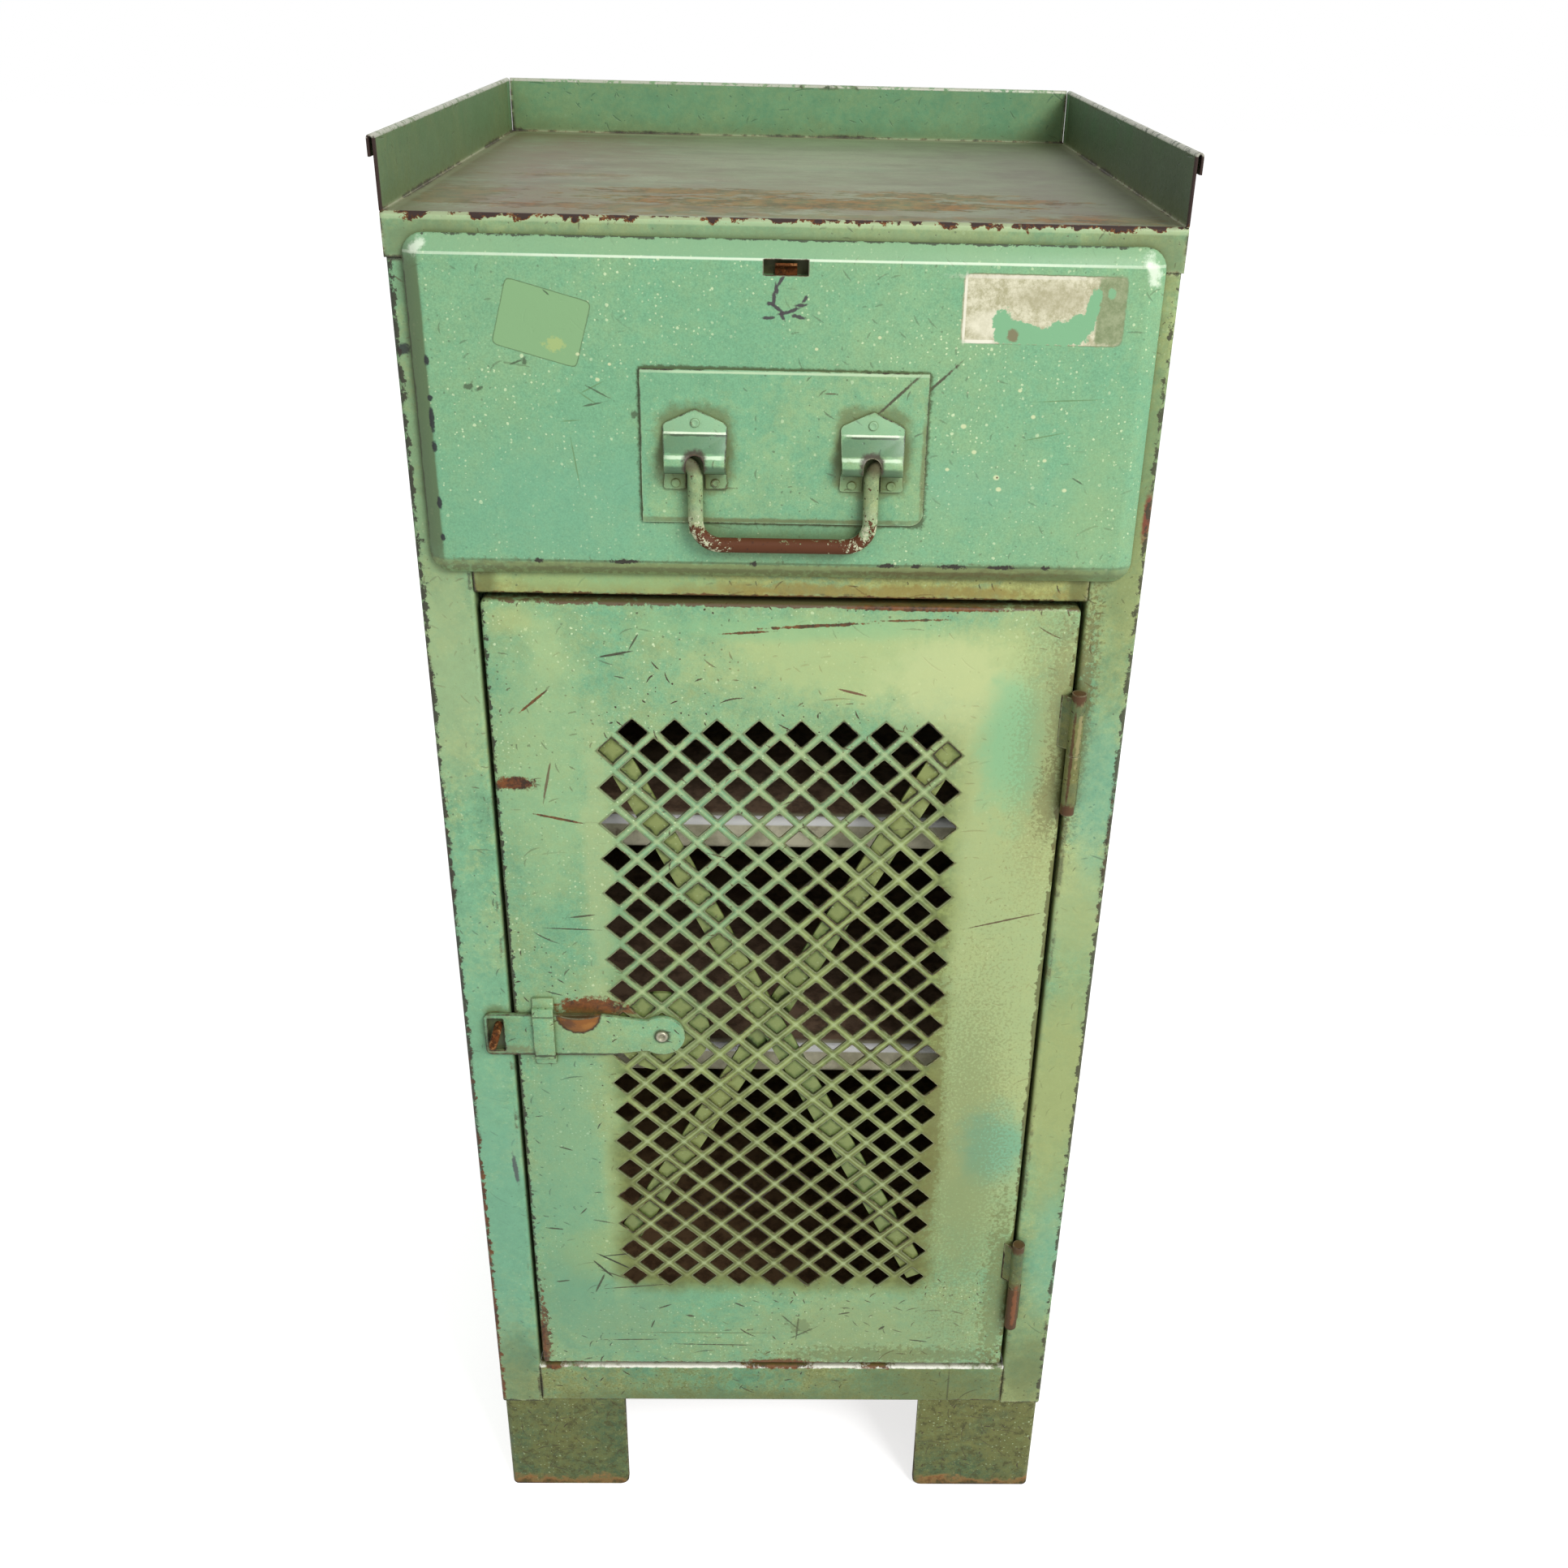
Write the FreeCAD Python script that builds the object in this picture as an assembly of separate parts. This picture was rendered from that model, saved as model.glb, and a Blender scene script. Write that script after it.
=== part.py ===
import FreeCAD, Part
import math
import os

# A steel workshop cabinet: a tray top, one drawer with a bail handle, and one perforated
# door that a padlock hasp closes. Folded sheet throughout, on four plate feet.
# Millimetres, +Z up, the front towards -Y. The origin is on the floor, under the middle
# of the whole outline.

# Carcass
width = 500.0
depth = 500.0
worktop_height = 1167.0
foot_height = 116.0
sheet = 1.5
fold_radius = 1.5
stile_width = 37.5
stile_leg = 12.0
return_depth = 18.0
rear_flange = 22.0
seam = 0.3

# Tray top
tray_overhang = 1.0
upstand = 44.0
hem_width = 5.0
hem_flat = 0.1
hem_drop = 13.0
lip_height = 27.5

# Rails of the front
bottom_rail = 45.5
middle_rail = 27.5
drawer_opening = 195.5
rail_ledge = 26.0
rail_hem = 12.0

# Feet
foot_wing = 112.0
foot_plate = 4.0
foot_lap = 38.0
foot_fold = 6.0
foot_corner = 9.0

# Shelves
upper_shelf_height = 716.0
lower_shelf_height = 496.0
shelf_setback = 42.0
shelf_lip = 27.0
shelf_roll = 5.0
shelf_hem = 9.0
shelf_side_gap = 1.0
shelf_rail_leg = 20.0

# Drawer
pan_width = 478.0
pan_lap_above = 16.0
pan_lap_below = 10.5
pan_rise = 9.6
pan_corner = 14.0
pan_bevel = 11.0
pan_rim = 2.0
pan_return = 40.0
pan_gap = 0.4
box_side_gap = 2.0
box_top_gap = 11.2
box_short = 45.0
box_hem = 6.0
drawer_travel = 360.0
drawer_lift = 0.3
runner_step = 22.0
runner_flange = 23.0
runner_ledge = 15.0
guide_gap = 1.0
stop_width = 30.0
stop_drop = 14.0
stop_foot = 22.0
slot_width = 28.0
slot_height = 9.5
slot_below_top = 11.0
tongue_width = 14.0
tongue_gap = 1.1

# Handle
plate_width = 187.0
plate_height = 102.0
plate_above_base = 40.5
pivot_above_plate = 42.0
plate_gauge = 1.6
plate_corner = 9.0
bracket_width = 42.0
bracket_gauge = 1.5
bracket_gable = 10.0
bracket_head = 35.0
bracket_crease = 19.0
bracket_tab = 18.5
bracket_slope = 50.0
bracket_shoulder = 4.0
bracket_apex = 3.0
bracket_toe = 2.0
bracket_spread = 116.0
notch_gap = 1.2
notch_flat = 0.2
rod = 10.0
bail_gap = 0.3
bail_drop = 55.6
bail_bend = 15.0
pivot_end = 17.0
handle_rivet = 6.0
handle_rivet_rise = 1.0
gable_rivet_height = 26.0
tab_rivet_drop = 14.3
tab_rivet_side = 13.0

# Door
door_side_gap = 3.0
door_top_gap = 5.0
door_bottom_gap = 4.5
door_fold = 2.5
hole_pitch = 30.58
hole_width = 22.0
field_side = 74.0
field_top = 90.0
field_bottom = 97.0
brace_width = 16.0
brace_gauge = 3.0
brace_slope_run = 12.0
straight_brace_foot = 11.0
joggled_brace_foot = 53.0

# Hinges
hinge_length = 98.0
barrel = 10.6
hinge_pin = 6.0
pin_clearance = 0.05
knuckle_gap = 0.3
blind_end = 4.0
pin_end_gap = 1.0
upper_hinge_drop = 111.0
lower_hinge_rise = 105.0
bead_reach = 8.0
bead_crown = 4.9
bead_root = 3.2

# Hasp
latch_height = 540.5
strap_overlap = 20.8
strap_reach = 141.3
strap_width = 39.5
strap_gauge = 3.0
strap_gap = 0.5
strap_neck = 29.4
taper_start_reach = 46.0
taper_end_reach = 14.5
strap_head = 36.8
strap_corner = 5.0
strap_ease = 8.0
neck_ease = 6.0
strap_slot_width = 13.0
strap_slot_height = 31.5
strap_slot_corner = 1.0
strap_rim = 2.6
dome_width = 34.0
dome_rise = 4.5
dome_reach = 66.0
latch_lift = 2.5
latch_rivet = 6.0
rivet_head = 9.5
rivet_crown = 2.5
rivet_flat = 5.2
disc_diameter = 77.0
disc_gauge = 3.0
keeper_width = 16.5
keeper_reach = 94.0
keeper_gauge = 2.0
keeper_fold = 1.0
keeper_foot = 8.0
keeper_rest = 0.3
keeper_room = 0.8
keeper_side_room = 0.4
staple_rod = 6.5
staple_height = 13.5
staple_reach = 16.5
staple_slant = 4.0
staple_raise = 1.0

# Places worked out from the sizes above
pivot_depth = rod / 2 + bail_gap
barrel_crest = 2 * bail_gap + rod + bracket_gauge
reach_front = pan_gap + pan_rise + plate_gauge + barrel_crest
reach_back = tray_overhang - sheet + hem_width
front = (reach_front - depth - reach_back) / 2
back = front + depth
half = width / 2
wall = half - sheet
opening_half = half - stile_width
strap_end = opening_half + strap_overlap
strap_rivet = strap_end - strap_reach
strap_taper_start = strap_rivet + taper_start_reach
strap_taper_end = strap_rivet + taper_end_reach
dome_centre = strap_rivet + dome_reach
keeper_centre = strap_rivet + keeper_reach
worktop_under = worktop_height - sheet
lip_bottom = worktop_height - lip_height
rail_top = foot_height + bottom_rail
ledge_top = lip_bottom - drawer_opening
opening_top = ledge_top - middle_rail

Vector = FreeCAD.Vector
ACROSS = Vector(1, 0, 0)
BACKWARD = Vector(0, 1, 0)
UP = Vector(0, 0, 1)


# ---------------------------------------------------------------- sheet folding and shaping

def plan(z):
    """Draws (a, b) as (x, y) on the level plane at z."""
    return lambda a, b: Vector(a, b, z)


def elevation(y):
    """Draws (a, b) as (x, z) on the plane that faces the front at y."""
    return lambda a, b: Vector(a, y, b)


def side_view(x):
    """Draws (a, b) as (y, z) on the plane that faces sideways at x."""
    return lambda a, b: Vector(x, a, b)


def heading(start, end):
    """Unit direction from one flat point to the next."""
    return (end - start).normalize()


def right_of(direction):
    """Unit direction a quarter turn clockwise."""
    return Vector(direction.y, -direction.x, 0)


def softened(points, radii, draw):
    """Edges through flat points, with a tangent arc of its own radius at each inner one."""
    edges = []
    last = points[0]
    for before, corner, after, radius in zip(points, points[1:], points[2:], radii):
        arrive = heading(before, corner)
        leave = heading(corner, after)
        turn = arrive.getAngle(leave)
        if radius > 0 and turn > 0:
            reach = radius * math.tan(turn / 2)
            begin = corner - arrive * reach
            end = corner + leave * reach
            inward = (leave - arrive).normalize()
            middle = corner + inward * (radius / math.cos(turn / 2) - radius)
            edges.append(Part.LineSegment(draw(last.x, last.y), draw(begin.x, begin.y)).toShape())
            arc = Part.Arc(draw(begin.x, begin.y), draw(middle.x, middle.y), draw(end.x, end.y))
            edges.append(arc.toShape())
            last = end
        else:
            edges.append(Part.LineSegment(draw(last.x, last.y), draw(corner.x, corner.y)).toShape())
            last = corner
    end = points[-1]
    edges.append(Part.LineSegment(draw(last.x, last.y), draw(end.x, end.y)).toShape())
    return edges


def folded(line, gauge, draw, radius=fold_radius):
    """Face of a folded sheet: the line of (a, b) points is one side of it, and the sheet lies
    to the right of the line, or to its left where the gauge is negative. The radius is the
    inside one of every bend."""
    near = [Vector(a, b, 0) for a, b in line]
    count = len(near)
    far = []
    near_radii = []
    far_radii = []
    for i, point in enumerate(near):
        arrive = heading(near[i - 1], point) if i > 0 else heading(point, near[i + 1])
        leave = heading(point, near[i + 1]) if i < count - 1 else arrive
        sideways = right_of(arrive) + right_of(leave)
        far.append(point + sideways * (gauge / (1 + arrive.dot(leave))))
        near_inside = (arrive.cross(leave).z > 0) == (gauge > 0)
        outside = radius + abs(gauge)
        near_radii.append(radius if near_inside else outside)
        far_radii.append(outside if near_inside else radius)
    edges = softened(near, near_radii[1:-1], draw)
    edges.append(Part.LineSegment(draw(near[-1].x, near[-1].y), draw(far[-1].x, far[-1].y)).toShape())
    edges += softened(far[::-1], far_radii[-2:0:-1], draw)
    edges.append(Part.LineSegment(draw(far[0].x, far[0].y), draw(near[0].x, near[0].y)).toShape())
    return Part.Face(Part.Wire(Part.__sortEdges__(edges)))


def outline(points, draw, radii=None):
    """Wire round closed (a, b) points, each corner with its own radius."""
    corners = [Vector(a, b, 0) for a, b in points]
    radii = radii or [0.0] * len(corners)
    middle = (corners[-1] + corners[0]) / 2
    path = [middle] + corners + [middle]
    return Part.Wire(Part.__sortEdges__(softened(path, radii, draw)))


def rounded_rectangle(low_a, low_b, high_a, high_b, radius, draw):
    """Wire of a rectangle with four equal round corners."""
    corners = [(low_a, low_b), (high_a, low_b), (high_a, high_b), (low_a, high_b)]
    return outline(corners, draw, [radius] * 4)


def bent_bar(points, radii, diameter, draw):
    """Round bar along flat points, each inner one bent to its own radius or, at 0, mitred."""
    line = [Vector(a, b, 0) for a, b in points]
    path = Part.Wire(softened(line, radii, draw))
    start = path.Edges[0]
    section = Part.makeCircle(diameter / 2, draw(*points[0]), start.tangentAt(start.FirstParameter))
    mitred = 1
    return path.makePipeShell([Part.Wire(section)], True, False, mitred)


def block(x_range, y_range, z_range):
    """Plain box between the given limits."""
    size = [abs(end - start) for start, end in (x_range, y_range, z_range)]
    corner = Vector(min(x_range), min(y_range), min(z_range))
    return Part.makeBox(*size, corner)


def mirrored(shape):
    """The same shape on the other side of the cabinet."""
    return shape.mirror(Vector(0, 0, 0), ACROSS)


def straight_edges(shape, direction, near, reach):
    """Straight edges along a direction whose middle lies within reach of a point."""
    found = []
    for edge in shape.Edges:
        if not isinstance(edge.Curve, Part.Line):
            continue
        parallel = edge.tangentAt(edge.FirstParameter).cross(direction).Length < 1e-6
        if parallel and (edge.CenterOfMass - near).Length < reach:
            found.append(edge)
    return found


# ---------------------------------------------------------------- carcass

hem_radius = (hem_width - hem_flat) / 2 - sheet


def hem(inside, top):
    """Line of a hem at the top of an upstand, turned outward and down."""
    return [(inside, top), (inside + hem_width, top), (inside + hem_width, top - hem_drop)]


def tray_top():
    """Worktop sheet: lip down in front, hemmed upstands on the other three sides."""
    outer = half + tray_overhang
    rim = worktop_height + upstand
    inner = outer - sheet
    right = [(0, worktop_height), (inner, worktop_height)] + hem(inner, rim)
    floor_and_sides = []
    for side in (1, -1):
        line = [(side * a, b) for a, b in right]
        gauge = sheet if side > 0 else -sheet
        profile = folded(line, gauge, elevation(front), hem_radius)
        floor_and_sides.append(profile.extrude(BACKWARD * depth))
    behind = back + tray_overhang - sheet
    front_line = [(front + depth / 2, worktop_height), (front, worktop_height), (front, lip_bottom)]
    lip = folded(front_line, -sheet, side_view(-outer)).extrude(ACROSS * 2 * outer)
    rear_line = [(front + depth / 2, worktop_height), (behind, worktop_height)] + hem(behind, rim)
    rear_half = inner - seam
    rear = folded(rear_line, sheet, side_view(-rear_half), hem_radius).extrude(ACROSS * 2 * rear_half)
    sides = floor_and_sides[0].fuse(floor_and_sides[1])
    room_for_lip = (front, front + 2 * fold_radius)
    round_front = block((-outer, outer), room_for_lip, (worktop_under - fold_radius, rim))
    past_hem = outer + hem_width
    above_floor = block((-past_hem, past_hem), (front, back), (worktop_height, rim + sheet))
    cornered = sides.cut(round_front).fuse(sides.common(above_floor))
    return cornered.fuse([lip, rear]).removeSplitter()


def side_panel():
    """Right side: a flat sheet, butt-welded to the stile's leg in front and to the back."""
    return block((wall, half), (front + stile_leg, back - sheet), (foot_height, worktop_under))


def stile():
    """Right stile: its return, its face, and a leg round the corner that carries on as the side."""
    line = [
        (half, front + stile_leg),
        (half, front),
        (opening_half, front),
        (opening_half, front + return_depth),
    ]
    post = folded(line, sheet, plan(foot_height)).extrude(UP * (worktop_under - foot_height))
    above_lip = (lip_bottom - seam, worktop_height)
    lip_notch = block((0, wall), (front, front + return_depth), above_lip)
    lip_corner = block((wall, half), (front, front + 2 * sheet), above_lip)
    past_fold = opening_half + sheet + fold_radius
    behind_face = (front + sheet, front + return_depth)
    rail_notch = block((0, past_fold), behind_face, (foot_height, rail_top + seam))
    return post.cut([lip_notch, lip_corner, rail_notch])


def rear_strip():
    """Right rear strip: flat, welded inside the side's rear edge, for the back to close on."""
    skin = back - sheet
    above_foot = foot_height + foot_lap + seam
    return block((half - rear_flange, wall), (skin - sheet, skin), (above_foot, worktop_under))


def back_panel():
    """Flat sheet that closes the back, on the two rear strips."""
    return block((-half, half), (back - sheet, back), (foot_height, worktop_under))


def bottom_pan():
    """Compartment floor, turned down in front as the bottom rail, with a hem between the feet."""
    skin = back - sheet
    line = [
        (skin, rail_top),
        (front, rail_top),
        (front, foot_height),
        (front + rail_hem, foot_height),
    ]
    pan = folded(line, -sheet, side_view(-wall), 2 * fold_radius).extrude(ACROSS * 2 * wall)
    rail_face = (foot_height, rail_top)
    hem_zone = (foot_height, foot_height + 4 * fold_radius)
    between_feet = half - foot_wing - foot_plate
    notches = []
    for side in (1, -1):
        at_stile = (side * opening_half, side * half)
        notches.append(block(at_stile, (front, front + return_depth + seam), rail_face))
        over_foot = (side * between_feet, side * half)
        notches.append(block(over_foot, (front + sheet, front + rail_hem), hem_zone))
        at_flange = (side * (half - rear_flange), side * half)
        notches.append(block(at_flange, (skin - rear_flange, skin), rail_face))
    return pan.cut(notches)


def middle_rail_shape():
    """Rail under the drawer: a face, a deep ledge that the drawer slides on, and a short hem."""
    line = [
        (front + rail_ledge, ledge_top),
        (front, ledge_top),
        (front, opening_top),
        (front + rail_hem, opening_top),
    ]
    rail = folded(line, -sheet, side_view(-opening_half))
    return rail.extrude(ACROSS * 2 * opening_half)


def foot(rear):
    """Right foot: a bent plate inside the corner of the shell, its free corners rounded."""
    skin = back - sheet if rear else front + sheet
    inward = -1 if rear else 1
    line = [(wall - foot_wing, skin), (wall, skin), (wall, skin + inward * foot_wing)]
    gauge = foot_plate if rear else -foot_plate
    plate = folded(line, gauge, plan(0), foot_fold - foot_plate).extrude(UP * (foot_height + foot_lap))
    free_front = Vector(wall - foot_wing, skin + inward * foot_plate / 2, 0)
    free_side = Vector(wall - foot_plate / 2, skin + inward * foot_wing, 0)
    corners = straight_edges(plate, BACKWARD, free_front, foot_plate)
    corners += straight_edges(plate, ACROSS, free_side, foot_plate)
    return plate.makeFillet(foot_corner, corners)


def shelf(height):
    """Bare shelf with a rolled front lip that returns underneath."""
    shelf_front = front + shelf_setback
    line = [
        (back - sheet - rear_flange, height),
        (shelf_front, height),
        (shelf_front, height - shelf_lip),
        (shelf_front + shelf_hem, height - shelf_lip),
    ]
    reach = wall - shelf_side_gap
    profile = folded(line, -sheet, side_view(-reach), shelf_roll - sheet)
    return profile.extrude(ACROSS * 2 * reach)


def shelf_rail(height):
    """Right angle that carries a shelf, welded to the side."""
    top = height - sheet
    line = [(wall - shelf_rail_leg, top), (wall, top), (wall, top - shelf_rail_leg)]
    start = front + shelf_setback + shelf_hem + shelf_roll
    end = back - sheet - rear_flange
    return folded(line, sheet, elevation(start)).extrude(BACKWARD * (end - start))


def drawer_runner():
    """Right runner: a stepped strip whose web guides the drawer and whose ledge carries it."""
    web = opening_half - box_side_gap + guide_gap + sheet
    bottom = ledge_top - sheet
    line = [
        (wall, bottom + runner_step + runner_flange),
        (wall, bottom + runner_step),
        (web, bottom + runner_step),
        (web, bottom),
        (web - sheet - runner_ledge, bottom),
    ]
    start = front + rail_ledge + seam
    end = back - sheet - rear_flange
    return folded(line, sheet, elevation(start)).extrude(BACKWARD * (end - start))


# ---------------------------------------------------------------- drawer

pan_back = front - pan_gap
pan_face = pan_back - pan_rise
pan_base = ledge_top - pan_lap_below
pan_top = lip_bottom + pan_lap_above
box_half = opening_half - box_side_gap
box_inside = box_half - sheet
box_bottom = ledge_top + drawer_lift
box_floor = box_bottom + sheet
box_top = lip_bottom - box_top_gap
box_back = pan_back + depth - box_short


def pan_solid(shrink):
    """Bevelled body of the drawer front; shrink draws every wall inward."""
    reach = pan_width / 2 - shrink
    radius = pan_corner - shrink
    front_face = pan_face + shrink
    draw = elevation(pan_back - shrink)
    rim = rounded_rectangle(-reach, pan_base + shrink, reach, pan_top - shrink, radius, draw)
    body = Part.Face(rim).extrude(BACKWARD * (pan_face - pan_back + 2 * shrink))
    edges = [edge for edge in body.Edges if edge.BoundBox.YMax < front_face + seam]
    return body.makeChamfer(pan_rise - pan_rim - shrink, pan_bevel, edges)


def drawer_front():
    """Pressed pan with a bevel all round and its edges returned behind, and the lock's slot."""
    inner = pan_width / 2 - pan_return
    behind_face = pan_back - 2 * sheet
    inside_returns = (pan_base + pan_return, pan_top - pan_return)
    window = block((-inner, inner), (behind_face, front), inside_returns)
    slot_top = pan_top - slot_below_top
    slot_reach = (-slot_width / 2, slot_width / 2)
    slot = block(slot_reach, (pan_face, behind_face), (slot_top - slot_height, slot_top))
    return pan_solid(0).cut([pan_solid(sheet), window, slot]).removeSplitter()


def lock_tongue():
    """Bent tongue on the inside of the return, its end showing in the lock's slot."""
    middle = pan_top - slot_below_top - slot_height / 2
    seat = pan_back - sheet
    line = [
        (seat, middle - pan_return / 2),
        (seat, middle),
        (pan_face + sheet + tongue_gap, middle + slot_height / 4),
    ]
    return folded(line, -sheet, side_view(-tongue_width / 2)).extrude(ACROSS * tongue_width)


def drawer_bottom():
    """Bottom sheet of the drawer, between its two sides."""
    return block((-box_inside, box_inside), (pan_back, box_back), (box_bottom, box_floor))


def drawer_side():
    """Right side of the drawer, which slides between the runners' webs."""
    return block((box_inside, box_half), (pan_back, box_back), (box_bottom, box_top))


def drawer_rim():
    """Right rim: a strip along the top of the drawer's side that stiffens it, laid on the ends."""
    inner = box_half - box_hem
    return block((inner, box_inside), (pan_back, box_back), (box_top - sheet, box_top))


def drawer_end(start):
    """End wall of the drawer between its sides, from start backward."""
    return block((-box_inside, box_inside), (start, start + sheet), (box_floor, box_top - sheet))


def drawer_stop():
    """Bent tongue under the drawer. It meets the rail's ledge when the drawer is out."""
    meet = front + rail_ledge + drawer_travel + seam
    line = [
        (meet, box_bottom - stop_drop),
        (meet, box_bottom),
        (meet + stop_foot, box_bottom),
    ]
    return folded(line, sheet, side_view(-stop_width / 2)).extrude(ACROSS * stop_width)


# ---------------------------------------------------------------- handle

plate_front = pan_face - plate_gauge
bracket_face = plate_front - bracket_gauge
pivot_y = plate_front - pivot_depth
pivot_z = pan_base + plate_above_base + pivot_above_plate


def handle_plate():
    """Doubling plate welded on the drawer front, one lower corner rounded."""
    low = pan_base + plate_above_base
    reach = plate_width / 2
    high = low + plate_height
    corners = [(-reach, low), (reach, low), (reach, high), (-reach, high)]
    face = Part.Face(outline(corners, elevation(pan_face), [0, plate_corner, 0, 0]))
    return face.extrude(BACKWARD * -plate_gauge)


def bracket_profile():
    """Side view of a bracket: gable flat on the plate, a barrel round the rod, and a lower flat."""
    bore = pivot_depth
    skin = bore + bracket_gauge
    slope_top = pivot_z + bracket_crease
    slope_inside = slope_top - bracket_gauge
    head = pivot_z + bracket_head
    tail = pivot_z - bracket_tab
    lean = math.radians(bracket_slope)
    upward = Vector(-math.cos(lean), math.sin(lean), 0)
    outer_start = (pivot_y + skin * upward.x, pivot_z + skin * upward.y)
    inner_end = (pivot_y + bore * upward.x, pivot_z + bore * upward.y)
    outer_low = pivot_z - math.sqrt(skin ** 2 - (pivot_y - bracket_face) ** 2)
    inner_low = pivot_z - bore
    draw = side_view(-bracket_width / 2)
    outer_arc = Part.Arc(draw(*outer_start), draw(pivot_y - skin, pivot_z), draw(bracket_face, outer_low))
    inner_arc = Part.Arc(draw(pivot_y, inner_low), draw(pivot_y - bore, pivot_z), draw(*inner_end))
    edges = [outer_arc.toShape(), inner_arc.toShape()]
    above = [
        inner_end,
        (plate_front, slope_inside),
        (plate_front, head),
        (bracket_face, head),
        (bracket_face, slope_top),
        outer_start,
    ]
    below = [
        (bracket_face, outer_low),
        (bracket_face, tail),
        (plate_front, tail),
        (plate_front, inner_low),
        (pivot_y, inner_low),
    ]
    for run in (above, below):
        for start, end in zip(run, run[1:]):
            edges.append(Part.LineSegment(draw(*start), draw(*end)).toShape())
    return Part.Face(Part.Wire(Part.__sortEdges__(edges)))


def handle_bracket(centre):
    """Pressed saddle over one end of the bail: a gable top, open barrel ends, and a notch."""
    strip = bracket_profile().extrude(ACROSS * bracket_width)
    strip.translate(ACROSS * centre)
    left = centre - bracket_width / 2
    right = centre + bracket_width / 2
    head = pivot_z + bracket_head
    tail = pivot_z - bracket_tab
    ahead = pivot_y - pivot_depth - 2 * bracket_gauge
    through = BACKWARD * (plate_front - ahead)
    gable = [
        (left, head - bracket_gable),
        (centre, head),
        (right, head - bracket_gable),
        (right, tail),
        (left, tail),
    ]
    gable_radii = [bracket_shoulder, bracket_apex, bracket_shoulder, bracket_toe, bracket_toe]
    blank = Part.Face(outline(gable, elevation(ahead), gable_radii)).extrude(through)
    notch_half = rod / 2 + notch_gap
    crown = notch_half - notch_flat / 2
    notch = [
        (centre - notch_half, tail - bracket_tab),
        (centre + notch_half, tail - bracket_tab),
        (centre + notch_half, pivot_z + notch_half),
        (centre - notch_half, pivot_z + notch_half),
    ]
    way = Part.Face(outline(notch, elevation(ahead), [0, 0, crown, crown])).extrude(through)
    return strip.common(blank).cut(way)


def bracket_rivets():
    """Low rivet heads on both brackets: one in each gable and two in each lower tab."""
    heads = []
    for side in (-1, 1):
        centre = side * bracket_spread / 2
        places = [
            (centre, pivot_z + gable_rivet_height),
            (centre - tab_rivet_side, pivot_z - tab_rivet_drop),
            (centre + tab_rivet_side, pivot_z - tab_rivet_drop),
        ]
        for x, z in places:
            seat = Vector(x, bracket_face, z)
            heads.append(Part.makeCylinder(handle_rivet / 2, handle_rivet_rise, seat, -BACKWARD))
    return Part.makeCompound(heads)


def bail_handle():
    """Round bar bent to a U, its two ends turned sharply outward inside the brackets."""
    leg = bracket_spread / 2
    tip = leg + pivot_end
    low = pivot_z - bail_drop
    route = [(-tip, pivot_z), (-leg, pivot_z), (-leg, low), (leg, low), (leg, pivot_z), (tip, pivot_z)]
    return bent_bar(route, [0, bail_bend, bail_bend, 0], rod, elevation(pivot_y))


# ---------------------------------------------------------------- door

door_half = opening_half - door_side_gap
door_bottom = rail_top + door_bottom_gap
door_top = opening_top - door_top_gap
face_back = front + sheet
upper_row = door_top - field_top - hole_width / 2
lower_limit = door_bottom + field_bottom + hole_width / 2
side_limit = door_half - field_side - hole_width / 2
across_count = 1 + int(2 * side_limit / hole_pitch)
row_count = 1 + int(2 * (upper_row - lower_limit) / hole_pitch)
lowest_row = upper_row - (row_count - 1) * hole_pitch / 2
widest_hole = (across_count - 1) * hole_pitch / 2


def hole_centres():
    """Centres of the diamonds: rows half a pitch apart, the short rows between the long ones."""
    centres = []
    for row in range(row_count):
        z = upper_row - row * hole_pitch / 2
        count = across_count - 1 if row % 2 == 0 else across_count
        for i in range(count):
            centres.append(((i - (count - 1) / 2) * hole_pitch, z))
    return centres


def diamond(x, z):
    """One square hole standing on its corner, as a wire on the door's face."""
    reach = hole_width / 2
    draw = elevation(front)
    corners = [(x + reach, z), (x, z - reach), (x - reach, z), (x, z + reach), (x + reach, z)]
    return Part.makePolygon([draw(a, b) for a, b in corners])


def rivet_bore(radius):
    """Drilling along the latch rivet, through everything it holds."""
    start = Vector(-strap_rivet, front - 4 * strap_gauge, latch_height)
    return Part.makeCylinder(radius, 8 * strap_gauge, start, BACKWARD)


def door_panel():
    """Folded door pan with returns on all four sides, perforated in the middle."""
    returns_back = front + return_depth
    blank = block((-door_half, door_half), (front, returns_back), (door_bottom, door_top))
    rim_edges = [edge for edge in blank.Edges if edge.BoundBox.YMax < face_back]
    softened_blank = blank.makeFillet(door_fold, rim_edges)
    inner_half = door_half - sheet
    inner_height = (door_bottom + sheet, door_top - sheet)
    hollow = block((-inner_half, inner_half), (face_back, returns_back), inner_height)
    middle_half = door_half - field_side / 2
    middle_low = door_bottom + field_bottom / 2
    middle_high = door_top - field_top / 2
    middle = block((-middle_half, middle_half), (front, face_back), (middle_low, middle_high))
    pan = softened_blank.cut([hollow, middle])
    draw = elevation(front)
    border = rounded_rectangle(-middle_half, middle_low, middle_half, middle_high, 0, draw)
    field = Part.Face([border] + [diamond(x, z) for x, z in hole_centres()])
    door = pan.fuse(field.extrude(BACKWARD * sheet)).removeSplitter()
    return door.cut(rivet_bore(latch_rivet / 2 + pin_clearance))


def brace_line(foot_rise, falls_right):
    """Ends of a brace: an upper corner of the perforations and, near it, the lower one opposite."""
    side = 1 if falls_right else -1
    upper = Vector(-side * widest_hole, face_back, upper_row - hole_pitch / 2)
    lower = Vector(side * widest_hole, face_back, lowest_row + foot_rise)
    return upper, lower


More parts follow.
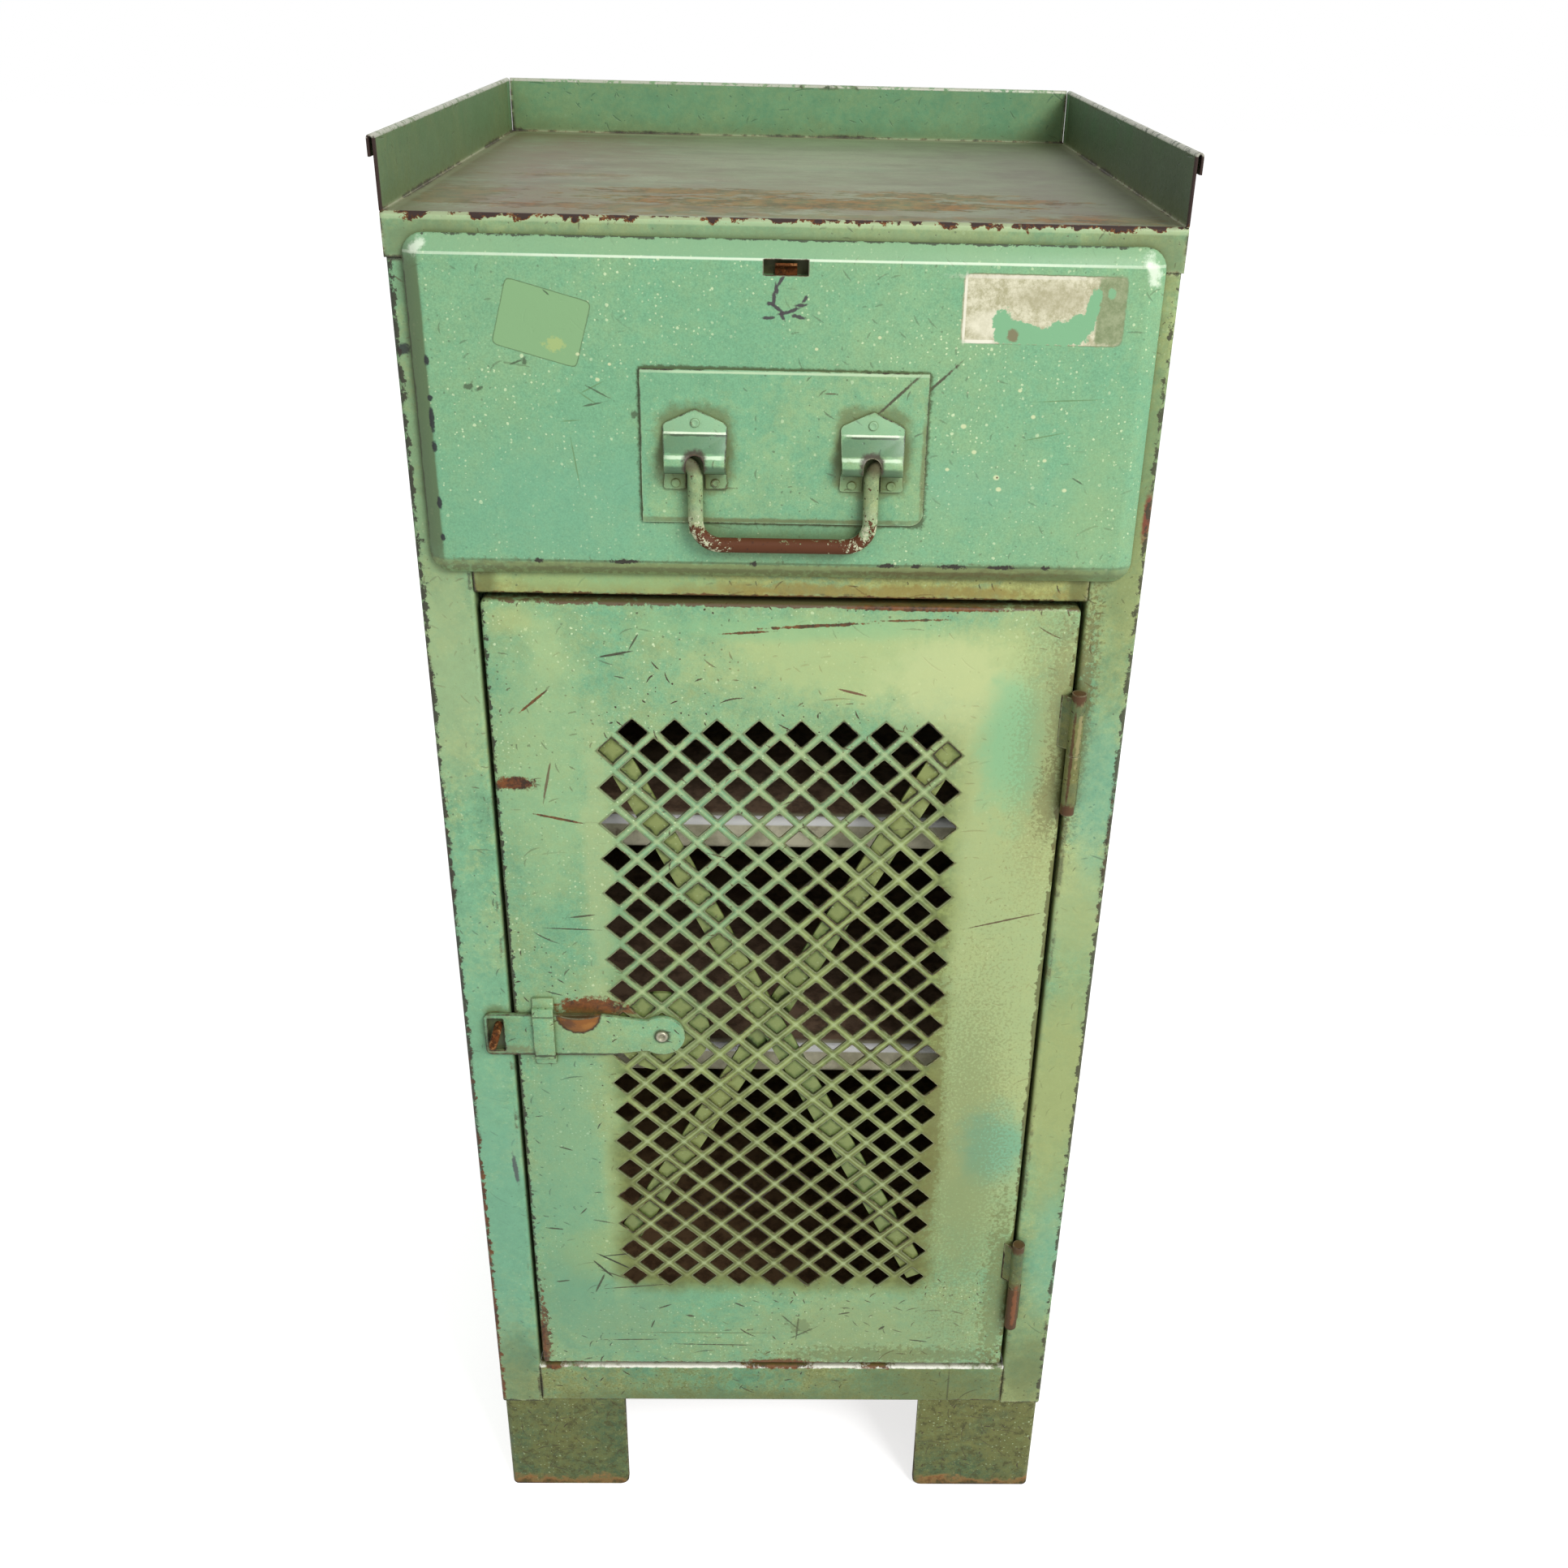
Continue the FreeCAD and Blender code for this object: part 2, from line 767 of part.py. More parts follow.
def set_along(flat_bar, upper, lower):
    """Turns a bar drawn down from the origin so that it runs from upper to lower."""
    lean = FreeCAD.Rotation(-UP, lower - upper)
    flat_bar.Placement = FreeCAD.Placement(upper, lean)
    return flat_bar


def crossing_depth():
    """How far down the joggled brace the straight one crosses it."""
    a_start, a_end = brace_line(straight_brace_foot, True)
    b_start, b_end = brace_line(joggled_brace_foot, False)
    along_a = a_end - a_start
    along_b = b_end - b_start
    gap = a_start - b_start
    share = (gap.x * along_a.z - gap.z * along_a.x) / (along_b.x * along_a.z - along_b.z * along_a.x)
    return share * along_b.Length


def brace_bar_straight():
    """Flat bar on the back of the perforated sheet, from upper left to lower right."""
    upper, lower = brace_line(straight_brace_foot, True)
    length = (lower - upper).Length
    bar = block((-brace_width / 2, brace_width / 2), (0, brace_gauge), (-length, 0))
    return set_along(bar, upper, lower)


def brace_bar_joggled():
    """Flat bar from upper right to lower left that steps over the straight one."""
    upper, lower = brace_line(joggled_brace_foot, False)
    length = (lower - upper).Length
    middle = -crossing_depth()
    flat = brace_width + 2 * brace_gauge
    line = [
        (0, 0),
        (0, middle + flat + brace_slope_run),
        (brace_gauge, middle + flat),
        (brace_gauge, middle - flat),
        (0, middle - flat - brace_slope_run),
        (0, -length),
    ]
    profile = folded(line, -brace_gauge, side_view(-brace_width / 2), brace_gauge)
    return set_along(profile.extrude(ACROSS * brace_width), upper, lower)


# ---------------------------------------------------------------- hinges

pivot_x = opening_half + door_side_gap / 4
hinge_y = front - barrel / 2 - knuckle_gap
pin_radius = hinge_pin / 2
bore_radius = pin_radius + pin_clearance
half_hinge = (hinge_length - knuckle_gap) / 2


def weld_bead(side, low, length):
    """Bead that fills the corner between a knuckle and the face on one side of the seam."""
    edge_x = opening_half if side > 0 else door_half
    toe = (edge_x + side * bead_reach, front)
    heel = (edge_x, front) if side < 0 else (max(pivot_x, edge_x), front)
    crown = (pivot_x + side * bead_crown, hinge_y)
    root = (pivot_x + side * bead_root, hinge_y + bead_root)
    corners = [toe, crown, root, heel]
    face = Part.Face(Part.makePolygon([Vector(x, y, low) for x, y in corners + [toe]]))
    return face.extrude(UP * length)


def knuckle(centre_z, upper):
    """Half of a weld-on hinge, with a blind bore; the upper half belongs to the door."""
    low = centre_z + knuckle_gap / 2 if upper else centre_z - knuckle_gap / 2 - half_hinge
    tube = Part.makeCylinder(barrel / 2, half_hinge, Vector(pivot_x, hinge_y, low))
    bore_low = low if upper else low + blind_end
    bore = Part.makeCylinder(bore_radius, half_hinge - blind_end, Vector(pivot_x, hinge_y, bore_low))
    bead = weld_bead(-1 if upper else 1, low + blind_end, half_hinge - 2 * blind_end)
    return tube.fuse(bead).cut(bore)


def hinge_pin_shape(centre_z):
    """Pin that stands in the lower knuckle and turns in the upper one."""
    low = centre_z - knuckle_gap / 2 - half_hinge + blind_end
    top = centre_z + knuckle_gap / 2 + half_hinge - blind_end - pin_end_gap
    return Part.makeCylinder(pin_radius, top - low, Vector(pivot_x, hinge_y, low))


# ---------------------------------------------------------------- hasp

strap_back = front - strap_gap
strap_front = strap_back - strap_gauge
keeper_inside = strap_front - keeper_room
strap_low = latch_height - strap_width / 2
strap_high = latch_height + strap_width / 2
keeper_low = strap_low - keeper_rest
keeper_arm = keeper_centre + keeper_width / 2 - strap_rivet
keeper_high = strap_high + keeper_arm * math.tan(math.radians(latch_lift)) + keeper_side_room
slot_x = -strap_end + strap_rim + strap_slot_width / 2


def latch_strap():
    """Hasp strap: slotted end, pressed thumb dome, tapered neck and a round head on the rivet."""
    draw = elevation(strap_back)
    forward = BACKWARD * -strap_gauge
    neck = strap_neck / 2
    corners = [
        (-strap_end, strap_low),
        (-strap_taper_start, strap_low),
        (-strap_taper_end, latch_height - neck),
        (-strap_rivet, latch_height - neck),
        (-strap_rivet, latch_height + neck),
        (-strap_taper_end, latch_height + neck),
        (-strap_taper_start, strap_high),
        (-strap_end, strap_high),
    ]
    radii = [strap_corner, strap_ease, neck_ease, 0, 0, neck_ease, strap_ease, strap_corner]
    blade = Part.Face(outline(corners, draw, radii)).extrude(forward)
    rivet_seat = Vector(-strap_rivet, strap_back, latch_height)
    head = Part.makeCylinder(strap_head / 2, strap_gauge, rivet_seat, -BACKWARD)
    slot_left = slot_x - strap_slot_width / 2
    slot_low = latch_height - strap_slot_height / 2
    slot_right = slot_left + strap_slot_width
    slot_high = slot_low + strap_slot_height
    eye = rounded_rectangle(slot_left, slot_low, slot_right, slot_high, strap_slot_corner, draw)
    slot = Part.Face(eye).extrude(forward)
    ball = (dome_width ** 2 / 4 + dome_rise ** 2) / (2 * dome_rise)
    centre = Vector(-dome_centre, strap_front - dome_rise + ball, strap_high)
    below_edge = block((-strap_end, 0), (strap_front - 2 * dome_rise, strap_front), (strap_low, strap_high))
    bulge = Part.makeSphere(ball, centre).common(below_edge)
    hollow = Part.makeSphere(ball - strap_gauge, centre)
    bore = rivet_bore(latch_rivet / 2 + pin_clearance)
    return blade.fuse([head, bulge]).cut([slot, hollow, bore]).removeSplitter()


def latch_rivet_shape():
    """Rivet through strap, door and backing disc: a crowned head in front."""
    head_seat = strap_front - seam
    crest = head_seat - rivet_crown
    tail_seat = face_back + disc_gauge
    tail = tail_seat + rivet_crown / 2
    profile = [
        (0, crest),
        (rivet_flat / 2, crest),
        (rivet_head / 2, head_seat),
        (latch_rivet / 2, head_seat),
        (latch_rivet / 2, tail_seat),
        (rivet_head / 2, tail_seat),
        (rivet_head / 2, tail),
        (0, tail),
        (0, crest),
    ]
    side = [Vector(a - strap_rivet, b, latch_height) for a, b in profile]
    axis_foot = Vector(-strap_rivet, 0, latch_height)
    return Part.Face(Part.makePolygon(side)).revolve(axis_foot, BACKWARD, 360)


def latch_backing_disc():
    """Round plate behind the perforations that the latch rivet pulls against."""
    seat = Vector(-strap_rivet, face_back, latch_height)
    disc = Part.makeCylinder(disc_diameter / 2, disc_gauge, seat, BACKWARD)
    return disc.cut(rivet_bore(latch_rivet / 2 + pin_clearance))


def latch_keeper():
    """Band over the strap, its two feet on the door; its shoulders limit the strap's lift."""
    line = [
        (front, keeper_low - keeper_foot - keeper_gauge),
        (front, keeper_low),
        (keeper_inside, keeper_low),
        (keeper_inside, keeper_high),
        (front, keeper_high),
        (front, keeper_high + keeper_foot + keeper_gauge),
    ]
    start = -keeper_centre - keeper_width / 2
    profile = folded(line, -keeper_gauge, side_view(start), keeper_fold)
    return profile.extrude(ACROSS * keeper_width)


def latch_staple():
    """Round-bar staple on the left stile; its leaning loop passes through the strap's slot."""
    low = latch_height + staple_raise - staple_height / 2
    base_x = slot_x - staple_slant / 2
    lean = math.atan2(staple_slant, staple_height)
    span = math.hypot(staple_height, staple_slant)
    crest = staple_rod / 2 - staple_reach

    def draw(a, b):
        return Vector(base_x + b * math.sin(lean), front + a, low + b * math.cos(lean))

    loop = [(0, 0), (crest, 0), (crest, span), (0, span)]
    return bent_bar(loop, [0, 0], staple_rod, draw)


# ---------------------------------------------------------------- the whole cabinet

def all_pieces():
    """Every separate piece by its name."""
    pieces = {
        "tray_top": tray_top(),
        "side_right": side_panel(),
        "side_left": mirrored(side_panel()),
        "stile_right": stile(),
        "stile_left": mirrored(stile()),
        "rear_strip_right": rear_strip(),
        "rear_strip_left": mirrored(rear_strip()),
        "back_panel": back_panel(),
        "bottom_pan": bottom_pan(),
        "middle_rail": middle_rail_shape(),
        "drawer_runner_right": drawer_runner(),
        "drawer_runner_left": mirrored(drawer_runner()),
        "latch_staple": latch_staple(),
        "drawer_front": drawer_front(),
        "drawer_bottom": drawer_bottom(),
        "drawer_side_right": drawer_side(),
        "drawer_side_left": mirrored(drawer_side()),
        "drawer_rim_right": drawer_rim(),
        "drawer_rim_left": mirrored(drawer_rim()),
        "drawer_end_front": drawer_end(pan_back),
        "drawer_end_rear": drawer_end(box_back - sheet),
        "drawer_stop": drawer_stop(),
        "lock_tongue": lock_tongue(),
        "handle_plate": handle_plate(),
        "handle_bracket_left": handle_bracket(-bracket_spread / 2),
        "handle_bracket_right": handle_bracket(bracket_spread / 2),
        "bracket_rivets": bracket_rivets(),
        "bail_handle": bail_handle(),
        "door_panel": door_panel(),
        "brace_bar_straight": brace_bar_straight(),
        "brace_bar_joggled": brace_bar_joggled(),
        "latch_backing_disc": latch_backing_disc(),
        "latch_rivet": latch_rivet_shape(),
        "latch_keeper": latch_keeper(),
        "latch_strap": latch_strap(),
    }
    for name, rear in (("front", False), ("rear", True)):
        pieces[f"foot_{name}_right"] = foot(rear)
        pieces[f"foot_{name}_left"] = mirrored(foot(rear))
    for name, height in (("upper", upper_shelf_height), ("lower", lower_shelf_height)):
        pieces[f"shelf_{name}"] = shelf(height)
        pieces[f"shelf_rail_{name}_right"] = shelf_rail(height)
        pieces[f"shelf_rail_{name}_left"] = mirrored(shelf_rail(height))
    hinge_heights = (("upper", door_top - upper_hinge_drop), ("lower", door_bottom + lower_hinge_rise))
    for name, height in hinge_heights:
        pieces[f"hinge_door_knuckle_{name}"] = knuckle(height, True)
        pieces[f"hinge_frame_knuckle_{name}"] = knuckle(height, False)
        pieces[f"hinge_pin_{name}"] = hinge_pin_shape(height)
    return pieces


os.makedirs("parts", exist_ok=True)
for name, piece in sorted(all_pieces().items()):
    piece.exportStep(os.path.join("parts", name + ".step"))
    box = piece.BoundBox
    print(
        f"{name:28s} solids {len(piece.Solids)} valid {piece.isValid()}",
        f"x {box.XMin:7.1f} {box.XMax:7.1f}",
        f"y {box.YMin:7.1f} {box.YMax:7.1f}",
        f"z {box.ZMin:7.1f} {box.ZMax:7.1f}",
    )
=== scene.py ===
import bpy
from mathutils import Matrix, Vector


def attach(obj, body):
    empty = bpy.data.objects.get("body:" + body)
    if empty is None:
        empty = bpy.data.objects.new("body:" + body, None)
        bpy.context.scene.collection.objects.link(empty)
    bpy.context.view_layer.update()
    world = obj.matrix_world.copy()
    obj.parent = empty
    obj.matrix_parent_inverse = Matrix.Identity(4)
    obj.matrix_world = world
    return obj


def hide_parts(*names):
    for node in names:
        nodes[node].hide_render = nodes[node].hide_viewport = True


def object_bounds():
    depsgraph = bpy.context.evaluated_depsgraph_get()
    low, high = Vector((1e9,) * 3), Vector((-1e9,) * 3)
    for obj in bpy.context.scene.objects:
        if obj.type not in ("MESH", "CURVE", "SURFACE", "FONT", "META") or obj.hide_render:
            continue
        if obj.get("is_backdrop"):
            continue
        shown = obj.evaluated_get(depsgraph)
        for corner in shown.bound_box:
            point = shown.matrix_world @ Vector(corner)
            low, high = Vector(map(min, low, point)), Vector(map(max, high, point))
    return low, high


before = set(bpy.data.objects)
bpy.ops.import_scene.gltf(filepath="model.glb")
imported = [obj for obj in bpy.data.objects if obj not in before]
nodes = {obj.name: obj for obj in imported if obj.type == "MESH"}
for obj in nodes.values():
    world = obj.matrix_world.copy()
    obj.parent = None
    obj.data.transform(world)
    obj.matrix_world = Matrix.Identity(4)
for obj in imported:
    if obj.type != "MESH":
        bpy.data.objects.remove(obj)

import inspect
import math
from types import SimpleNamespace

import bmesh
import bpy
from mathutils import Matrix, Vector

cad_box = [list(corner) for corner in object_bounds()]


# ------------------------------------------------------------------ sides, stiles and back
# The shell is 1.5 mm sheet: two sides, the stiles that fold round their front corners, a
# back and the strips it closes on. It was welded up and sprayed in one green enamel, which
# has yellowed in patches, picked up dirt and chipped to brown steel along every edge.


class Field:
    """A value that varies over a surface. Working with fields adds the nodes that do it."""

    def __init__(self, socket):
        self.socket, self.tree = socket, socket.id_data

    def beside(self, output):
        """Another output of the node that this one comes from."""
        return Field(self.socket.node.outputs[output])

    __add__ = __radd__ = lambda self, other: calc("ADD", self, other)
    __mul__ = __rmul__ = lambda self, other: calc("MULTIPLY", self, other)
    __sub__ = lambda self, other: calc("SUBTRACT", self, other)
    __rsub__ = lambda self, other: calc("SUBTRACT", other, self)
    __truediv__ = lambda self, other: calc("DIVIDE", self, other)
    __rtruediv__ = lambda self, other: calc("DIVIDE", other, self)
    __pow__ = lambda self, other: calc("POWER", self, other)
    __gt__ = lambda self, other: calc("GREATER_THAN", self, other)
    __lt__ = lambda self, other: calc("LESS_THAN", self, other)
    __abs__ = lambda self: calc("ABSOLUTE", self)


def shade(red, green, blue):
    """A colour as a paint card gives it, 0 to 255, in the linear values that shaders read."""
    linear = []
    for part in (red, green, blue):
        level = part / 255
        linear.append(level / 12.92 if level <= 0.04045 else ((level + 0.055) / 1.055) ** 2.4)
    return (*linear, 1.0)


def fill(socket, value):
    """Joins a field to a socket, or sets a number, or a colour as on a paint card."""
    if isinstance(value, Field):
        value.tree.links.new(value.socket, socket)
    else:
        socket.default_value = shade(*value) if socket.type == "RGBA" else value


def joined(kind, inputs, output=0, tree=None, **settings):
    """Adds a node with its settings and inputs, and gives an output. The tree has to be named
    where no field goes in."""
    if tree is None:
        tree = next(value.tree for value in inputs.values() if isinstance(value, Field))
    made = tree.nodes.new(kind)
    for name, value in settings.items():
        setattr(made, name, value)
    for key, value in inputs.items():
        fill(made.inputs[key], value)
    return Field(made.outputs[output])


def calc(operation, *values):
    return joined("ShaderNodeMath", dict(enumerate(values)), operation=operation)


def higher(one, other):
    return calc("MAXIMUM", one, other)


def clamped(field):
    """Keeps the outcome of a sum or product from 0 to 1."""
    field.socket.node.use_clamp = True
    return field


def rise(value, low, high):
    """0 below low, 1 above high and smooth between; falling where low is the higher one."""
    inputs = {0: value, 1: low, 2: high, 3: 0.0, 4: 1.0}
    return joined("ShaderNodeMapRange", inputs, interpolation_type="SMOOTHSTEP")


def between(share, low, high):
    return joined("ShaderNodeMix", {0: share, 2: low, 3: high})


def mixed(share, under, over, blend_type="MIX"):
    """One colour laid over another by a share."""
    settings = {"data_type": "RGBA", "blend_type": blend_type, "clamp_factor": True}
    return joined("ShaderNodeMix", {0: share, 6: under, 7: over}, 2, **settings)


def grain(place, scale, detail=4.0, roughness=0.55, distortion=0.0):
    inputs = {"Vector": place, "Scale": scale, "Detail": detail, "Roughness": roughness}
    return joined("ShaderNodeTexNoise", inputs | {"Distortion": distortion})


def drawn_out(place, x, y, z):
    """Places squeezed by a share along each direction, which draws a grain out."""
    return joined("ShaderNodeMapping", {0: place, 3: (x, y, z)})


def cells_of(place, count):
    """Scattered cells: three numbers by chance for each, its middle and how far that is."""
    inputs = {"Vector": place, "Scale": count}
    distance = joined("ShaderNodeTexVoronoi", inputs, "Distance", voronoi_dimensions="2D")
    red = joined("ShaderNodeSeparateColor", {0: distance.beside("Color")})
    return (red, red.beside(1), red.beside(2)), distance.beside("Position"), distance


def object_place(tree):
    return joined("ShaderNodeTexCoord", {}, "Object", tree)


def parts_of(vector):
    x = joined("ShaderNodeSeparateXYZ", {0: vector})
    return SimpleNamespace(x=x, y=x.beside("Y"), z=x.beside("Z"))


def shader_group(*gives):
    """Makes a function of fields into a shared group. The function is told its tree and what
    goes in; each call of the group names the tree that it is put to work in."""
    kinds = dict.fromkeys(("color", "paint", "yellowed"), "NodeSocketColor")
    kinds |= dict.fromkeys(("place", "normal"), "NodeSocketVector")

    def made_from(build):
        tree = bpy.data.node_groups.new(build.__name__.replace("_", " "), "ShaderNodeTree")
        takes = list(inspect.signature(build).parameters)[1:]
        for way, names in (("INPUT", takes), ("OUTPUT", gives)):
            for name in names:
                kind = kinds.get(name, "NodeSocketFloat")
                tree.interface.new_socket(name, in_out=way, socket_type=kind)
        source = tree.nodes.new("NodeGroupInput").outputs
        drain = tree.nodes.new("NodeGroupOutput").inputs
        results = build(tree, *[Field(source[name]) for name in takes])
        for name, result in zip(gives, [results] if len(gives) == 1 else results):
            fill(drain[name], result)

        def put_to_work(place_of_work, *values):
            made = place_of_work.nodes.new("ShaderNodeGroup")
            made.node_tree = tree
            for name, value in zip(takes, values, strict=True):
                fill(made.inputs[name], value)
            fields = [Field(made.outputs[name]) for name in gives]
            return fields[0] if len(gives) == 1 else fields

        return put_to_work

    return made_from


@shader_group("place")
def place_on_sheet(tree):
    """A place on flat sheet: x and z on fronts, y and z on sides, x and y on tops."""
    place = object_place(tree)
    at, facing = parts_of(place), parts_of(place.beside("Normal"))
    across = between(abs(facing.x) > 0.7, at.x, at.y)
    up = between(abs(facing.z) > 0.7, at.z, at.y)
    return joined("ShaderNodeCombineXYZ", {0: across, 1: up})


@shader_group("mask")
def scratches(tree, cells, share, length, width, lean, spread):
    """Short scratches strewn over the sheet, each with its own lean, bend and length."""
    place = place_on_sheet(tree)
    chance, middle, _ = cells_of(place, cells)
    offset = joined("ShaderNodeVectorMath", {0: place, 1: middle}, operation="SUBTRACT")
    offset = parts_of(offset)
    turn = (chance[0] - 0.5) * spread + lean
    cos, sin = calc("COSINE", turn), calc("SINE", turn)
    along = offset.x * cos + offset.y * sin
    across = offset.y * cos - offset.x * sin
    half = length * (chance[2] * 0.4 + 0.12)
    outward = along / half
    outward = outward * outward
    bow = (chance[0] - 0.35) * half
    across = outward * (bow * 0.5) + across
    across = (grain(place, 900.0, 2.0) - 0.5) * width + across
    depth = 1.0 - outward
    thin = width * 0.5 * depth
    line = rise(abs(across), thin * 1.3, thin * 0.6) * (depth > 0.02)
    return line * (chance[1] > 1.0 - share)


@shader_group("mask")
def drops(tree, cells, share, radius):
    """Round drops or specks strewn over the sheet, from nothing up to a largest radius."""
    place = place_on_sheet(tree)
    wobble = joined("ShaderNodeTexNoise", {"Vector": place, "Scale": 420.0}, 1)
    wobble = joined("ShaderNodeVectorMath", {0: wobble, "Scale": 0.0016}, operation="SCALE")
    place = joined("ShaderNodeVectorMath", {0: place, 1: wobble}, operation="ADD")
    (chance, *_), _, distance = cells_of(place, cells)
    size = (chance - (1.0 - share)) / share * radius
    return rise(distance / cells, size, size * 0.6) * (chance > 1.0 - share)


@shader_group("color", "roughness", "height")
def aged_enamel(tree, paint, yellowed, yellowing, clouds, spatter, nicks, dirt):
    """Enamel as it ages: cloudy yellowing, uneven tone, dirt, cream spatter and nicks."""
    place = object_place(tree)
    cloud = grain(place, 4.5, 3.0)
    mottle = grain(place, 19.0, 6.0, 0.68)
    fine = grain(place, 170.0, 5.0, 0.68)
    pepper = grain(place, 560.0, 2.0)

    patchy = rise(mottle, 0.36, 0.64)
    gritty = rise(fine, 0.36, 0.64)
    unrest = rise(cloud, 0.34, 0.66) * 0.8 - 0.4
    unrest = (gritty - 0.5) * 0.45 + ((patchy - 0.5) * 0.7 + unrest)
    colour = mixed(clamped(unrest * clouds + yellowing), paint, yellowed)
    medium = rise(grain(place, 62.0, 5.0, 0.7), 0.36, 0.64)
    tone = (medium - 0.5) * 0.22 + (patchy - 0.5) * 0.16 + (gritty - 0.5) * 0.22
    tone = tone * clouds + 0.93
    crisp = rise(grain(place, 1100.0, 2.0), 0.32, 0.68)
    tone = (crisp - 0.5) * 0.16 + tone
    tone = (rise(pepper, 0.3, 0.7) - 0.5) * 0.14 + tone
    grey = joined("ShaderNodeCombineColor", {0: tone, 1: tone, 2: tone})
    colour = mixed(1.0, colour, grey, "MULTIPLY")

    spread = rise(mottle, 0.4, 0.68)
    grimy = rise(pepper * 0.5 + fine * 0.5, 0.47, 0.6)
    grime = clamped((grimy * 0.55 + spread * 0.45) * dirt)
    colour = mixed(grime, colour, (96, 104, 56))

    shower = rise(mottle, 0.34, 0.62)
    for fallen in (drops(tree, 90.0, 0.30, 0.0015), drops(tree, 260.0, 0.42, 0.0009)):
        colour = mixed(clamped(fallen * shower * spatter), colour, (202, 222, 176))

    long_ones = scratches(tree, 38.0, 0.20, 0.026, 0.0013, 0.0, 1.5)
    short_ones = scratches(tree, 110.0, 0.16, 0.010, 0.0012, 0.2, 3.0)
    struck = higher(higher(long_ones, short_ones), drops(tree, 170.0, 0.24, 0.0010))
    struck = clamped(struck * rise(cloud, 0.36, 0.52) * nicks)
    colour = mixed(struck, colour, (62, 50, 34))
    return colour, grime * 0.3 + (mottle * 0.28 + 0.22), fine * 0.6 - struck


@shader_group("chip", "rust", "rub", "grime", "normal")
def chipped_edge(tree, reach, wear, corner_reach):
    """Where enamel has broken off an edge, the rust that creeps beyond, and grime in corners."""
    place = object_place(tree)
    rounded = joined("ShaderNodeBevel", {"Radius": reach}, samples=8)
    slightly_rounded = joined("ShaderNodeBevel", {"Radius": reach * 0.22}, samples=4)
    straight = joined("ShaderNodeNewGeometry", {}, "Normal", tree)
    alike = {0: rounded, 1: straight}
    alike = joined("ShaderNodeVectorMath", alike, "Value", operation="DOT_PRODUCT")
    edge = clamped((1.0 - alike) * 3.4) ** 0.5
    flakes = grain(place, 105.0, 5.0, 0.68)
    luck = (grain(place, 11.0, 3.0) - 0.5) * 1.2 + (flakes - 0.5)
    odds = edge * 0.8 + (luck * 2.2 + (wear - 0.5))
    near = rise(edge, 0.1, 0.22)
    shelter = joined("ShaderNodeAmbientOcclusion", {"Distance": corner_reach}, "AO", samples=6)
    broken = rise(odds, 0.74, 0.82) * near
    crept = rise(odds, 0.6, 0.78) * near
    corner = rise(flakes * 0.5 + shelter, 1.12, 0.72)
    return broken, crept, rise(edge, 0.4, 0.95), corner, slightly_rounded


@shader_group("mask")
def struck_mark(tree, x, z, length, width, lean, strength, ragged, edge, size, corners):
    """One mark on the front, at x and z: a stroke, blot or patch with a ragged outline. The
    corners go from 2, an ellipse, up to 16, nearly a rectangle."""
    place = object_place(tree)
    at, facing = parts_of(place), parts_of(place.beside("Normal"))
    dx, dz = at.x - x, at.z - z
    cos, sin = calc("COSINE", lean), calc("SINE", lean)
    along = abs((dx * cos + dz * sin) / length)
    across = abs((dz * cos - dx * sin) / width)
    far = (along**corners + across**corners) ** (1.0 / corners)
    far = (grain(place, size, 5.0, 0.7) - 0.5) * ragged + far
    return rise(far, 1.0 + edge, 1.0 - edge) * (facing.y < 0.3) * strength


@shader_group("color", "height")
def rust(tree, orange):
    """Rust from dark brown to orange, in crumbs."""
    place = object_place(tree)
    crumbs = grain(place, 300.0, 5.0, 0.7)
    patches = rise(grain(place, 60.0, 4.0, 0.65), 0.42, 0.6)
    colour = mixed(rise(crumbs, 0.38, 0.64), (52, 32, 16), (108, 60, 26))
    return mixed(clamped(patches * orange), colour, (142, 84, 30)), crumbs


MINT, TEAL = (122, 178, 136), (112, 172, 142)
OLIVE, CREAM = (176, 192, 130), (206, 210, 172)
GRIME, BROWN, DARK = (92, 98, 52), (84, 52, 38), (46, 38, 32)
RUST = "the finish's own rust"


